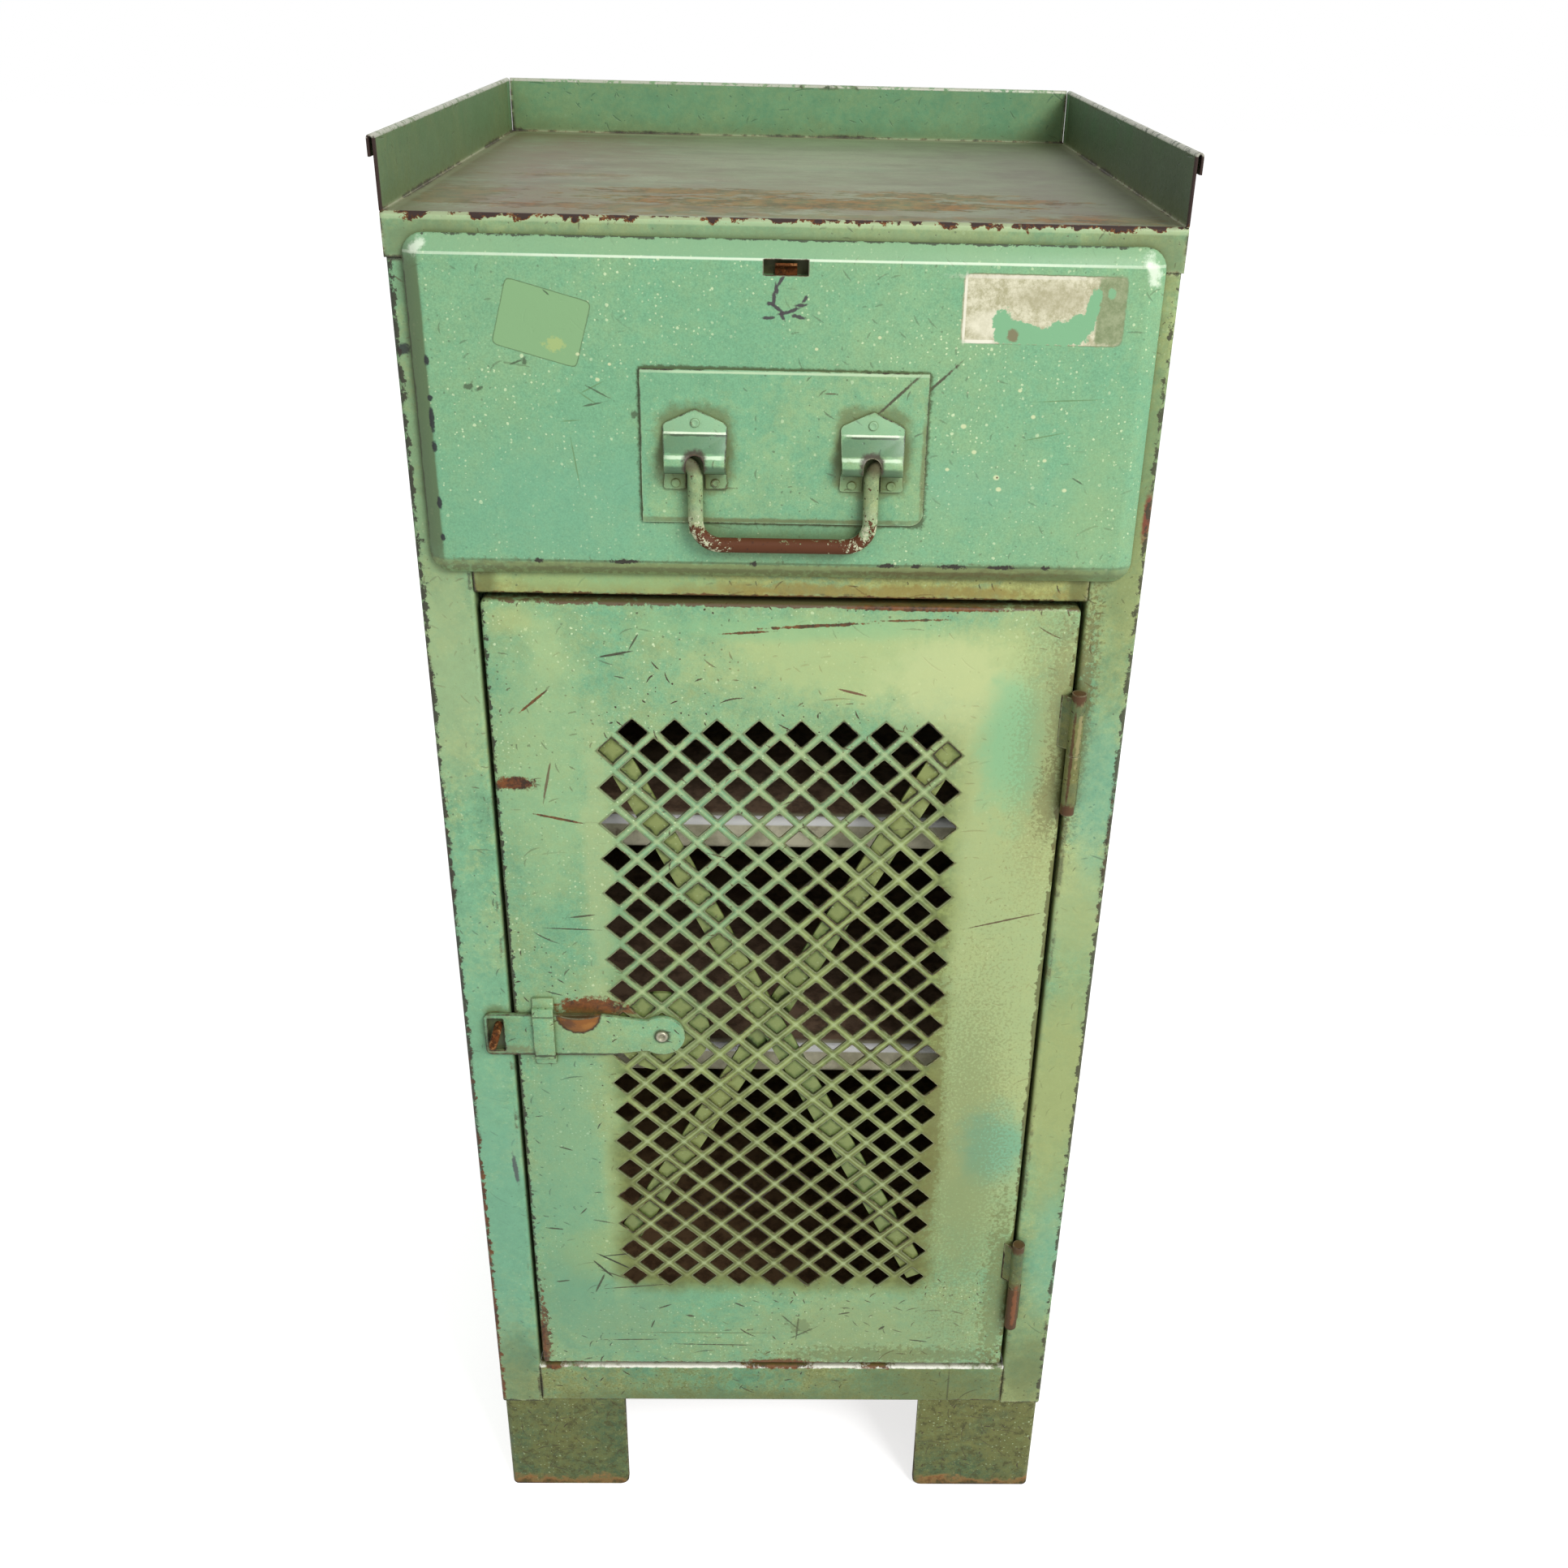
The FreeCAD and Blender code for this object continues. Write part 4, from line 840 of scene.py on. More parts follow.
pan.mark(0, 1025, 190, 105, -0.4, (70, 84, 54), 0.85, 0.10, 0.014, 220, 40)
finished(drawer_front, pan.wear_edges(0.003, 0.42, 0.03).done(), "drawer", "drawer_front")

rusted = Finish("rusty steel")
rust_colour, rust_height = rust(rusted.tree, 0.15)
worn_bright = rise(grain(object_place(rusted.tree), 240.0, 5.0, 0.7), 0.56, 0.62)
rusted.coat(mixed(worn_bright, rust_colour, (150, 104, 62)), 0.75, rust_height)
rusty_steel = rusted.done(specular=0.15)
painted(rusty_steel, "lock_tongue")


# ------------------------------------------------------------------ handle
# A doubling plate welded on the drawer carries two pressed saddles, riveted, and the bail
# is a 10 mm rod bent to a U whose ends turn outward inside them. Its bar is worn to rust.

plate_paint = enamelled("handle plate enamel", 0.16, 0.6, 0.5, 0.2, clouds=0.4)
for side in (-1, 1):
    plate_paint.mark(58 * side, 1023.5, 50.5, 60, 0, (100, 100, 54), 0.65, 0.5, 0.14, 130, 4)
plate_paint.marks([
    (72, 1060, 46, 1.8, 44, (70, 60, 46), 0.9, 2.6, 0.4, 300),
    (0, 1074.5, 186, 1.6, 0, (196, 220, 180), 0.8, 0.8, 0.5, 60, 12),
    (0, 976, 186, 3, 0, (100, 92, 50), 0.7, 1.6, 0.6, 120, 6),
    (92, 1010, 3, 70, 0, (110, 104, 60), 0.6, 1.6, 0.6, 120),
    (30, 1062, 8, 1, 0, BROWN, 0.8, 1.0, 0.4, 300),
])
painted(plate_paint.wear_edges(0.002, 0.4, 0.02).done(), "handle_plate")
saddle_paint = enamelled("saddle enamel", 0.25, 0.2, 0.8, 0.3, clouds=0.3)
for side in (-1, 1):
    middle = 58 * side
    saddle_paint.marks([
        (middle, 1003, 46, 14, 0, (116, 134, 86), 0.7, 1.0, 0.4, 140),
        (middle, 1042, 46, 13, 0, (148, 190, 150), 0.6, 0.6, 0.3, 140, 6),
        # Painted light and shade: a darker slope under the crease, the barrel's underside darker
        # with a dark line below it, a bright line on the crease with a dark one under it, and a
        # highlight along the top of the barrel.
        (middle, 1028.5, 46, 11, 0, (84, 118, 88), 0.75, 0.8, 0.16, 140, 8),
        (middle, 1012.5, 46, 7, 0, (66, 92, 66), 0.8, 0.5, 0.3, 140, 8),
        (middle, 1009.3, 46, 2.2, 0, (32, 34, 26), 0.9, 0.6, 0.3, 140, 8),
        (middle, 1034, 40, 1.4, 0, (54, 66, 46), 0.8, 2.0, 0.3, 140, 8),
        (middle, 1035.3, 38, 1.3, 0, (228, 242, 214), 0.95, 1.4, 0.3, 140, 8),
        (middle, 1021.2, 41, 2.0, 0, (214, 236, 204), 0.85, 1.6, 0.4, 140, 8),
        (middle, 1017.5, 15.5, 16, 0, (56, 38, 28), 0.9, 0.8, 0.2, 200, 3),
    ])
saddle_paint.wear_edges(0.0018, 0.50, 0.010, 0.9, 0.4)
saddle_enamel = saddle_paint.done()
greens = (140, 172, 126), (164, 176, 128)
bail_paint = enamelled("bail enamel", 0.5, 0.2, 0.9, 0.5, *greens)
place = object_place(bail_paint.tree)
at = parts_of(place)
flaky = grain(place, 260.0, 6.0, 0.75)
level = (grain(place, 90.0, 4.0, 0.7) - 0.5) * 0.05 + at.z
level = (flaky - 0.5) * 0.04 + level
pale = rise(at.z, 0.992, 0.984) * rise(abs(at.x), 0.03, 0.044)
bail_paint.lay(pale * 0.2, (190, 198, 166), 0.5)
bail_paint.lay(rise(level, 0.974, 0.972), (88, 50, 28), 0.6)
bail_paint.lay(rise(flaky, 0.605, 0.62), (74, 44, 30), 0.7)
flakes = rise(abs(at.x), 0.02, 0.048) * rise(at.z, 0.99, 0.976)
flakes = flakes * 0.16 + grain(place, 210.0, 5.0, 0.75)
bail_paint.lay(rise(flakes, 0.69, 0.705), (196, 200, 166), 0.5)
bail_paint.lay(rise(at.z, 1.006, 1.016) * 0.75, (66, 44, 34), 0.7)
bail_paint = bail_paint.done(specular=0.22)


def bent_line(points, radii, steps=8):
    """Points along a bar through its corners, each inner one bent to its own radius."""
    line = [Vector(points[0])]
    for before, corner, after, radius in zip(points, points[1:], points[2:], radii):
        corner = Vector(corner)
        arrive = (corner - Vector(before)).normalized()
        leave = (Vector(after) - corner).normalized()
        turn = arrive.angle(leave)
        centre = corner + (leave - arrive).normalized() * (radius / math.cos(turn / 2))
        arm = corner - arrive * radius * math.tan(turn / 2) - centre
        axis = arrive.cross(leave).normalized()
        for i in range(steps + 1):
            line.append(centre + Matrix.Rotation(turn * i / steps, 3, axis) @ arm)
    return [*line, Vector(points[-1])]


def faced_outward(piece):
    """Turns all faces of a piece outward."""
    drawing = bmesh.new()
    drawing.from_mesh(piece.data)
    bmesh.ops.recalc_face_normals(drawing, faces=drawing.faces)
    drawing.to_mesh(piece.data)
    drawing.free()
    return piece


def round_bar(name, line, radius, sides=20, end_round=0.0012):
    """A round bar along a line, its ends slightly rounded off."""
    rings = []
    side = (line[1] - line[0]).normalized().orthogonal().normalized()
    for i, point in enumerate(line):
        ahead = (line[min(i + 1, len(line) - 1)] - line[max(i - 1, 0)]).normalized()
        side = (side - ahead * side.dot(ahead)).normalized()
        other = ahead.cross(side)
        angles = [math.tau * k / sides for k in range(sides)]
        ring = [side * math.cos(a) + other * math.sin(a) for a in angles]
        end = [point + arm * (radius - end_round) for arm in ring]
        if i == 0:
            rings += [end, [point + ahead * end_round + arm * radius for arm in ring]]
        elif i == len(line) - 1:
            rings += [[point - ahead * end_round + arm * radius for arm in ring], end]
        else:
            rings.append([point + arm * radius for arm in ring])
    return faced_outward(skin_through(name, rings, True, True))


def turned(name, profile, places, sides=20):
    """Round pieces turned about y: a profile of radius and depth, set at places in x and z."""
    drawing = bmesh.new()
    angles = [math.tau * k / sides for k in range(sides)]
    for x, z in places:
        rings = [
            [drawing.verts.new((x + r * math.cos(a), depth, z + r * math.sin(a))) for a in angles]
            for r, depth in profile
        ]
        for low, high in zip(rings, rings[1:]):
            for k in range(sides):
                j = (k + 1) % sides
                drawing.faces.new((low[k], low[j], high[j], high[k]))
        drawing.faces.new(rings[0])
        drawing.faces.new(rings[-1])
    bmesh.ops.recalc_face_normals(drawing, faces=drawing.faces)
    return piece_drawn(name, drawing)


def rounded_outline(corners, radii, steps=6):
    """A closed outline in x and z, each corner rounded to its own radius."""
    points = []
    for i, (corner, radius) in enumerate(zip(corners, radii)):
        corner = Vector(corner)
        if radius == 0:
            points.append(corner)
            continue
        arrive = (corner - Vector(corners[i - 1])).normalized()
        leave = (Vector(corners[(i + 1) % len(corners)]) - corner).normalized()
        half_turn = abs(arrive.angle_signed(leave)) / 2
        reach = radius * math.tan(half_turn)
        centre = corner + (leave - arrive).normalized() * (radius / math.cos(half_turn))
        start, end = corner - arrive * reach - centre, corner + leave * reach - centre
        for k in range(steps + 1):
            points.append(centre + start.lerp(end, k / steps).normalized() * radius)
    return points


def plate_from(name, outline, back, front, holes=()):
    """A flat plate cut to an outline in x and z, with holes."""
    drawing = bmesh.new()
    edges = []
    for loop in (outline, *holes):
        corners = [drawing.verts.new((x, front, z)) for x, z in loop]
        for pair in zip(corners, corners[1:] + corners[:1]):
            edges.append(drawing.edges.new(pair))
    bmesh.ops.triangle_fill(drawing, edges=edges, use_beauty=True)
    grown = bmesh.ops.extrude_face_region(drawing, geom=list(drawing.faces))
    moved = [item for item in grown["geom"] if isinstance(item, bmesh.types.BMVert)]
    bmesh.ops.translate(drawing, verts=moved, vec=(0.0, back - front, 0.0))
    bmesh.ops.recalc_face_normals(drawing, faces=drawing.faces)
    bmesh.ops.dissolve_limit(
        drawing, angle_limit=0.001, verts=drawing.verts, edges=drawing.edges
    )
    return piece_drawn(name, drawing)


def folded_strip(name, line, left, right, gauge):
    """A strip of sheet folded along a line in y and z, as wide as from left to right."""
    corners = [(x, y, z) for y, z in line for x in (left, right)]
    faces = [(2 * i, 2 * i + 1, 2 * i + 3, 2 * i + 2) for i in range(len(line) - 1)]
    return thickened(piece_of(name, corners, faces), gauge, even=True)


pivot_y, pivot_z, grip_z = -0.2573, 1.016, 0.9604
leg, rod_end, rod_radius = 0.058, 0.075, 0.005
eye_bend, grip_bend = 0.008, 0.0165
corners = [(-rod_end, pivot_z), (-leg, pivot_z), (-leg, grip_z)]
corners += [(-x, z) for x, z in corners[::-1]]
bends = [eye_bend, grip_bend, grip_bend, eye_bend]
route = bent_line([(x, pivot_y, z) for x, z in corners], bends)
bail = round_bar("bail_rod", route, rod_radius, 24)
finished(bail, bail_paint, "handle", "bail_handle", slot="handle_paint")

saddle_face, saddle_half, saddle_gauge = -0.2535, 0.021, 0.0015
barrel = 0.0068
gable_top, gable_side, crease, tab_low = 1.051, 1.041, 1.035, 0.9975
tab_bend = 1.0100
notch_half, notch_foot, notch_top, notch_corner = 0.0062, 0.99, 1.0222, 0.0061
pinch_reach, pinch_share = 0.0085, 0.055


def saddle(name, centre):
    """A saddle over one end of the bail: flat gable, slope, open barrel and lower tab, with a
    notch for the bail's leg."""
    line = [(saddle_face, gable_top + 0.002), (saddle_face, crease + 0.0009)]
    line.append((saddle_face - 0.0003, crease))
    for angle in map(math.radians, range(50, -125, -8)):
        y = min(pivot_y - barrel * math.cos(angle), saddle_face)
        line.append((y, pivot_z + barrel * math.sin(angle)))
    line += [(saddle_face, tab_bend), (saddle_face, tab_low - 0.002)]
    left, right = centre - saddle_half, centre + saddle_half
    piece = folded_strip(name, line[::-1], left - 0.002, right + 0.002, saddle_gauge)
    gable = [(left, tab_low), (right, tab_low), (right, gable_side)]
    gable += [(centre, gable_top), (left, gable_side)]
    gable = rounded_outline(gable, [0.002, 0.002, 0.004, 0.002, 0.004])
    window = [(-0.2, 0.9), (0.2, 0.9), (0.2, 1.2), (-0.2, 1.2)]
    cut_away(piece, plate_from("around", window, -0.24, -0.28, [gable]))
    near, far = centre - notch_half, centre + notch_half
    arch = [(near, notch_foot), (far, notch_foot), (far, notch_top), (near, notch_top)]
    arch = rounded_outline(arch, [0, 0, notch_corner, notch_corner])
    cut_away(piece, plate_from("notch", arch, -0.24, -0.28))
    for corner in piece.data.vertices:
        height = (corner.co.z - pivot_z) / pinch_reach
        if abs(height) < 1:
            pinch = 1 - pinch_share * (1 - height * height)
            corner.co.x = centre + (corner.co.x - centre) * pinch
    soften(piece, 0.00035)
    return piece


for side, end in ((-1, "left"), (1, "right")):
    piece = saddle("saddle_" + end, leg * side)
    finished(piece, saddle_enamel, "drawer", "handle_bracket_" + end, smooth=30)

head = ((0.0030, 0.0003), (0.0030, -0.0004), (0.0027, -0.0009))
head += ((0.0021, -0.0010), (0.0015, -0.0006), (0.0005, -0.0005))
head = [(radius, saddle_face + depth) for radius, depth in head]
rivets = ((0.0, 0.0260), (-0.0130, -0.0143), (0.0130, -0.0143))
places = [(middle + x, pivot_z + z) for middle in (-leg, leg) for x, z in rivets]
saddle_rivets = turned("saddle_rivet_heads", head, places)
finished(saddle_rivets, saddle_enamel, "drawer", "bracket_rivets", smooth=50)


# ------------------------------------------------------------------ door
# The door is a folded pan, punched with a field of square holes on their corners. Two flat
# bars brace the back of the field, and a round plate backs the hasp's rivet.

door_face = -0.2404
door_half, door_low, door_high = 0.2095, 0.166, 0.9115
door_return = 0.018
fold = 0.0025
hole_pitch, hole_width, hole_corner = 0.03058, 0.022, 0.0011
top_row = 0.8105
holes_across = 9
row_pairs = 18

profile = [(0.0, door_return), (0.0, fold)]
for angle in map(math.radians, (30, 60, 90)):
    profile.append((fold * (1 - math.cos(angle)), fold * (1 - math.sin(angle))))
rings = [
    rounded_ring(door_half, door_low, door_high, inset, 0.004 - inset, door_face + depth, 4)
    for inset, depth in profile
]
door_pan = skin_through("door_pan", rings)


def perforated_face():
    """Fills the open face of the pan with sheet, punched with rows of square holes on their
    corners; every second row has one hole less."""
    tree = bpy.data.node_groups.new("perforated face", "GeometryNodeTree")
    lengths = ("Face depth", "Pitch", "Hole width", "Hole corner", "Top row")
    takes = {"Geometry": "Geometry"} | dict.fromkeys(lengths, "Float")
    takes |= {"Across": "Int", "Row pairs": "Int", "Finish": "Material"}
    for name, kind in takes.items():
        tree.interface.new_socket(name, in_out="INPUT", socket_type="NodeSocket" + kind)
    tree.interface.new_socket("Geometry", in_out="OUTPUT", socket_type="NodeSocketGeometry")
    source = tree.nodes.new("NodeGroupInput").outputs
    drain = tree.nodes.new("NodeGroupOutput").inputs
    given = {name: Field(source[name]) for name in takes}

    def changed(piece, **how):
        how = {name.capitalize(): value for name, value in how.items()}
        return joined("GeometryNodeTransform", {"Geometry": piece} | how)

    def together(*pieces):
        join = tree.nodes.new("GeometryNodeJoinGeometry")
        for piece in pieces:
            fill(join.inputs[0], piece)
        return Field(join.outputs[0])

    depth = parts_of(joined("GeometryNodeInputPosition", {}, 0, tree)).y
    in_face = {0: depth, 1: given["Face depth"], 12: 1e-05}
    in_face = joined("FunctionNodeCompare", in_face, operation="EQUAL")
    border = joined("GeometryNodeMeshToCurve", {0: given["Geometry"], 1: in_face})
    border = changed(border, rotation=(math.radians(-90), 0.0, 0.0))

    side = given["Hole width"] * math.sqrt(0.5)
    hole = joined("GeometryNodeCurvePrimitiveQuadrilateral", {"Width": side, "Height": side})
    corner = {"Count": 2, "Radius": given["Hole corner"], "Limit Radius": True}
    hole = joined("GeometryNodeFilletCurve", {"Curve": hole} | corner, mode="POLY")
    hole = changed(hole, rotation=(0.0, 0.0, math.radians(45)))

    height = (given["Row pairs"] - 1.0) * given["Pitch"]
    fields = []
    for short in (1.0, 0.0):
        count = given["Across"] - short
        grid = {"Size X": (count - 1.0) * given["Pitch"], "Size Y": height}
        grid |= {"Vertices X": count, "Vertices Y": given["Row pairs"]}
        drop = given["Pitch"] * ((1.0 - short) * 0.5) + height * 0.5
        middle = joined("ShaderNodeCombineXYZ", {"Y": given["Top row"] - drop})
        centres = changed(joined("GeometryNodeMeshGrid", grid), translation=middle)
        punched = {"Points": centres, "Instance": hole}
        fields.append(joined("GeometryNodeInstanceOnPoints", punched))
    holes = joined("GeometryNodeRealizeInstances", {0: together(*fields)})

    face = joined("GeometryNodeFillCurve", {0: together(border, holes)}, mode="TRIANGLES")
    depth = joined("ShaderNodeCombineXYZ", {"Y": given["Face depth"]})
    face = changed(face, rotation=(math.radians(90), 0.0, 0.0), translation=depth)
    whole = {"Geometry": together(given["Geometry"], face), "Distance": 2e-05}
    whole = joined("GeometryNodeMergeByDistance", whole)
    whole = {"Geometry": whole, "Material": given["Finish"]}
    fill(drain[0], joined("GeometryNodeSetMaterial", whole))
    return tree


def with_nodes(piece, tree, values):
    """Adds a Geometry Nodes modifier and sets its inputs, each by its socket's identifier."""
    maker = piece.modifiers.new(tree.name, "NODES")
    maker.node_group = tree
    for item in tree.interface.items_tree:
        if item.in_out == "INPUT" and item.name in values:
            maker[item.identifier] = values[item.name]


door = enamelled("door enamel", 0.3, 1.0, 1.0, 0.4, clouds=0.5)
door.mark(170, 600, 96, 560, 0, (172, 182, 122), 0.75, 0.9, 0.35, 36, 5)
door.marks([
    (70, 868, 240, 60, 0, OLIVE, 0.75),
    (0, 893, 200, 16, 0, (134, 182, 132), 0.5),
    (-165, 868, 26, 44, 0, (188, 200, 136), 0.3),
    (-172, 790, 66, 220, 0, (158, 190, 136), 0.5),
    (-190, 896, 30, 20, 0, (184, 190, 122), 0.4),
    (120, 850, 90, 70, 0, (192, 202, 144), 0.6),
    (150, 450, 60, 200, 0, (150, 172, 118), 0.5),
    (168, 799, 42, 104, 0, (122, 182, 136), 0.7),
    (183, 427, 54, 76, 0, (112, 170, 136), 0.85),
    (150, 330, 110, 120, 0, (138, 166, 114), 0.5),
    (100, 215, 230, 70, 0, (138, 160, 112), 0.5),
    (-175, 400, 60, 290, 0, (118, 168, 130), 0.6),
    (-150, 240, 120, 110, 0, (110, 156, 122), 0.6),
    (-140, 560, 30, 60, 0, (172, 186, 132), 0.5),
    (-136, 690, 22, 240, 0, (172, 188, 132), 0.5),
    (-134, 380, 20, 240, 0, (160, 180, 122), 0.6),
    (-150, 300, 60, 60, 0, (150, 170, 110), 0.4),
], 1.7, 0.5, 36)

place = object_place(door.tree)
at = parts_of(place)
field_middle = 0.543
from_middle = abs(at.z - field_middle)
uneven = grain(place, 16.0, 4.0, 0.65)
in_field = rise(uneven * 0.03 + abs(at.x), 0.162, 0.134)
in_field = in_field * rise(uneven * 0.03 + from_middle, 0.308, 0.28)
down_right = at.x * 1.1 + (at.z * -1.3 + 0.84)
oliveness = rise(uneven * 0.5 + down_right, 0.02, 0.36)
oily = rise(grain(place, 70.0, 4.0, 0.7), 0.38, 0.62)
door.lay(in_field * oliveness * 0.95, mixed(oily, (98, 108, 50), (138, 150, 82)), 0.55)
door.lay(in_field * rise(uneven * 0.2 + at.z, 0.62, 0.46) * 0.6, (98, 102, 50), 0.6)


def nearest_row(at, sign):
    """The nearest row of holes along one diagonal, and how far off it a place is."""
    step = (at.x - hole_pitch / 2) / hole_pitch + (at.z - top_row) / (sign * hole_pitch)
    row = calc("ROUND", step)
    return row, abs(step - row)


falling_row, falling = nearest_row(at, 1)
rising_row, rising = nearest_row(at, -1)
columns_out = abs(falling_row + rising_row + 1.0)
rows_down = rising_row - falling_row
has_hole = (columns_out < 8.5) * (rows_down > -0.5) * (rows_down < 2 * row_pairs - 0.5)
between_holes = rise(abs(at.x), 0.125, 0.112) * rise(from_middle, 0.272, 0.258)
across_bar = (uneven - 0.5) * 0.1 + higher(falling, rising)
# Painted shade and highlight on the perforated field: darker at the hole edges, partly grime, and
# lighter along the middles of the bars and at their crossings.
door.lay(rise(across_bar, 0.45, 0.38) * has_hole * 0.75, (72, 80, 38), 0.6)
door.lay(rise(across_bar, 0.455, 0.495) * between_holes * 0.45, (182, 198, 146))
crossing = rise(calc("MINIMUM", falling, rising), 0.36, 0.46)
door.lay(crossing * between_holes * 0.4, (180, 196, 144))
for *stroke, size in (
    (0, 911, 419, 3.5, 0, (92, 62, 44), 0.9, 4.0, 160),
    (100, 910, 110, 4, 0, RUST, 0.95, 2.4, 200),
    (-208.8, 580, 3.5, 700, 0, DARK, 0.9, 9.0, 150),
    (-208, 190, 5, 60, 0, RUST, 0.85, 2.4, 180),
    (0, 166.6, 419, 3, 0, RUST, 0.9, 6.0, 160),
    (5, 168, 60, 8, 0, RUST, 0.95, 2.4, 200),
    (208.2, 540, 4, 720, 0, (92, 92, 50), 0.85, 6.0, 110),
    (202, 845, 16, 120, 0, (104, 92, 50), 0.35, 6.0, 320),
    (200, 760, 18, 60, 0, (96, 88, 46), 0.45, 6.0, 320),
    (192, 800, 36, 200, 0, (120, 108, 60), 0.25, 7.0, 420),
    (131, 450, 14, 260, 0, (112, 112, 58), 0.6, 5.0, 200),
    (198, 250, 22, 200, 0, (108, 112, 62), 0.55, 5.0, 220),
    (110, 178, 200, 18, 0, (108, 112, 62), 0.55, 5.0, 220),
    (160, 400, 60, 320, 0, (110, 106, 58), 0.35, 7.0, 420),
    (-205, 200, 8, 90, 0, RUST, 0.9, 5.0, 240),
    (-140, 292, 34, 1.8, -32, (44, 42, 30), 0.95, 1.4, 260),
    (-150, 283, 26, 2.0, -50, (44, 42, 30), 0.9, 1.4, 260),
    (-134, 300, 30, 1.4, 8, (44, 42, 30), 0.9, 1.4, 260),
    (-177.7, 833.9, 26, 2.0, 41, RUST, 0.95, 1.4, 260),
    (-194.3, 767.7, 30, 11, 0, RUST, 1.0, 1.9, 260),
    (-163.2, 737.9, 36, 2.2, -12, RUST, 0.95, 1.4, 240),
    (-171, 770, 2, 34, -12, (96, 62, 44), 0.8, 1.2, 260),
    (-160, 640, 40, 1.2, -2, (64, 54, 38), 0.9, 1.4, 260),
    (-150, 652, 20, 1.6, 8, (64, 54, 38), 0.85, 1.4, 260),
    (-118, 872, 24, 1.8, 12, (60, 50, 38), 0.9, 1.4, 260),
    (-104, 882, 14, 1.4, 60, (60, 50, 38), 0.8, 1.4, 260),
    (-24, 890, 34, 2.0, 4, RUST, 0.95, 2.4, 260),
    (26, 896, 70, 2.6, 4, RUST, 0.95, 2.6, 260),
    (88, 901, 44, 1.8, 2, RUST, 0.9, 3.0, 240),
    (51, 845, 20, 2.0, -14, (104, 60, 42), 0.9, 1.4, 240),
    (175, 652, 54, 1.5, 15, (86, 62, 42), 0.9, 1.3, 240),
    (-153, 266.5, 22, 2, 68, (60, 58, 40), 0.85, 1.4, 260),
    (-120, 262, 60, 1.4, 6, (68, 66, 44), 0.8, 1.6, 240),
    (-140, 276, 26, 1.4, -24, (68, 66, 44), 0.8, 1.6, 240),
    (-60, 205, 120, 1.4, 0, (92, 104, 68), 0.6, 1.8, 200),
    (22, 212, 30, 1.8, 86, (70, 76, 50), 0.8, 2.6, 240),
    (16, 218, 26, 1.6, -48, (70, 76, 50), 0.8, 2.6, 240),
    (28, 206, 24, 1.6, 32, (70, 76, 50), 0.8, 2.6, 240),
    (24, 214, 22, 16, 0, (100, 112, 72), 0.45, 2.8, 240),
    (-52, 190, 70, 1.3, -1, (62, 56, 40), 0.8, 2.4, 240),
    (-128, 196, 44, 1.3, 1, (62, 56, 40), 0.8, 2.4, 240),
    (-96, 238, 12, 1.8, 24, (62, 56, 40), 0.85, 1.8, 260),
    (-74, 226, 7, 2.6, -10, (62, 56, 40), 0.85, 1.8, 260),
    (-108, 216, 10, 1.6, 70, (62, 56, 40), 0.85, 1.8, 260),
    (-30, 240, 9, 1.8, -30, (62, 56, 40), 0.85, 1.8, 260),
    (64, 230, 12, 1.6, 12, (62, 56, 40), 0.85, 1.8, 260),
    (98, 212, 8, 2.4, 40, (62, 56, 40), 0.85, 1.8, 260),
    (132, 196, 16, 1.4, -8, (62, 56, 40), 0.85, 1.8, 260),
    (-186, 268, 10, 1.8, 8, (62, 56, 40), 0.85, 1.8, 260),
    (-190, 330, 16, 1.6, -6, (62, 56, 40), 0.85, 1.8, 260),
    (-164, 350, 9, 1.4, 50, (62, 56, 40), 0.85, 1.8, 260),
    (-176, 420, 12, 1.4, -20, (62, 56, 40), 0.85, 1.8, 260),
    (-148, 565, 54, 20, 0, RUST, 1.0, 2.2, 200),
    (-122, 563, 30, 8, 0, RUST, 0.9, 2.4, 220),
    (-90, 540, 120, 46, 0, (120, 138, 92), 0.35, 0.8, 60),
):
    door.mark(*stroke, 0.18, size)
door_enamel = door.wear_edges(0.0035, 0.36, 0.02).done()

greens = (88, 112, 56), (116, 124, 62)
brace_paint = enamelled("brace enamel", 0.5, 0.3, 0.7, 0.4, *greens, clouds=0.7)
place = object_place(brace_paint.tree)
at = parts_of(place)
sprayed = higher(nearest_row(at, 1)[1], nearest_row(at, -1)[1])
sprayed = (grain(place, 120.0, 3.0) - 0.5) * 0.25 + sprayed
# Paint sprayed through each hole leaves a lighter patch; the parts behind the bars are darkened as
# painted shade.
brace_paint.lay(rise(sprayed, 0.3, 0.14) * 0.6, (140, 152, 92))
brace_paint.lay(rise(sprayed, 0.3, 0.36) * 0.9, (38, 42, 22))
brace_enamel = brace_paint.done()
measures = {
    "Face depth": door_face,
    "Pitch": hole_pitch,
    "Hole width": hole_width,
    "Hole corner": hole_corner,
    "Top row": top_row,
    "Across": holes_across,
    "Row pairs": row_pairs,
    "Finish": door_enamel,
}
with_nodes(door_pan, perforated_face(), measures)
finished(thickened(door_pan, sheet), door_enamel, "door", "door_panel")
painted(brace_enamel, "latch_backing_disc")

brace_half, brace_gauge, brace_beyond = 0.0100, 0.003, 0.011
brace_reach = 0.1223
brace_top = top_row - hole_pitch / 2
straight_foot, joggled_foot = 0.28635, 0.32835
face_back = door_face + sheet
step_over = face_back + brace_gauge


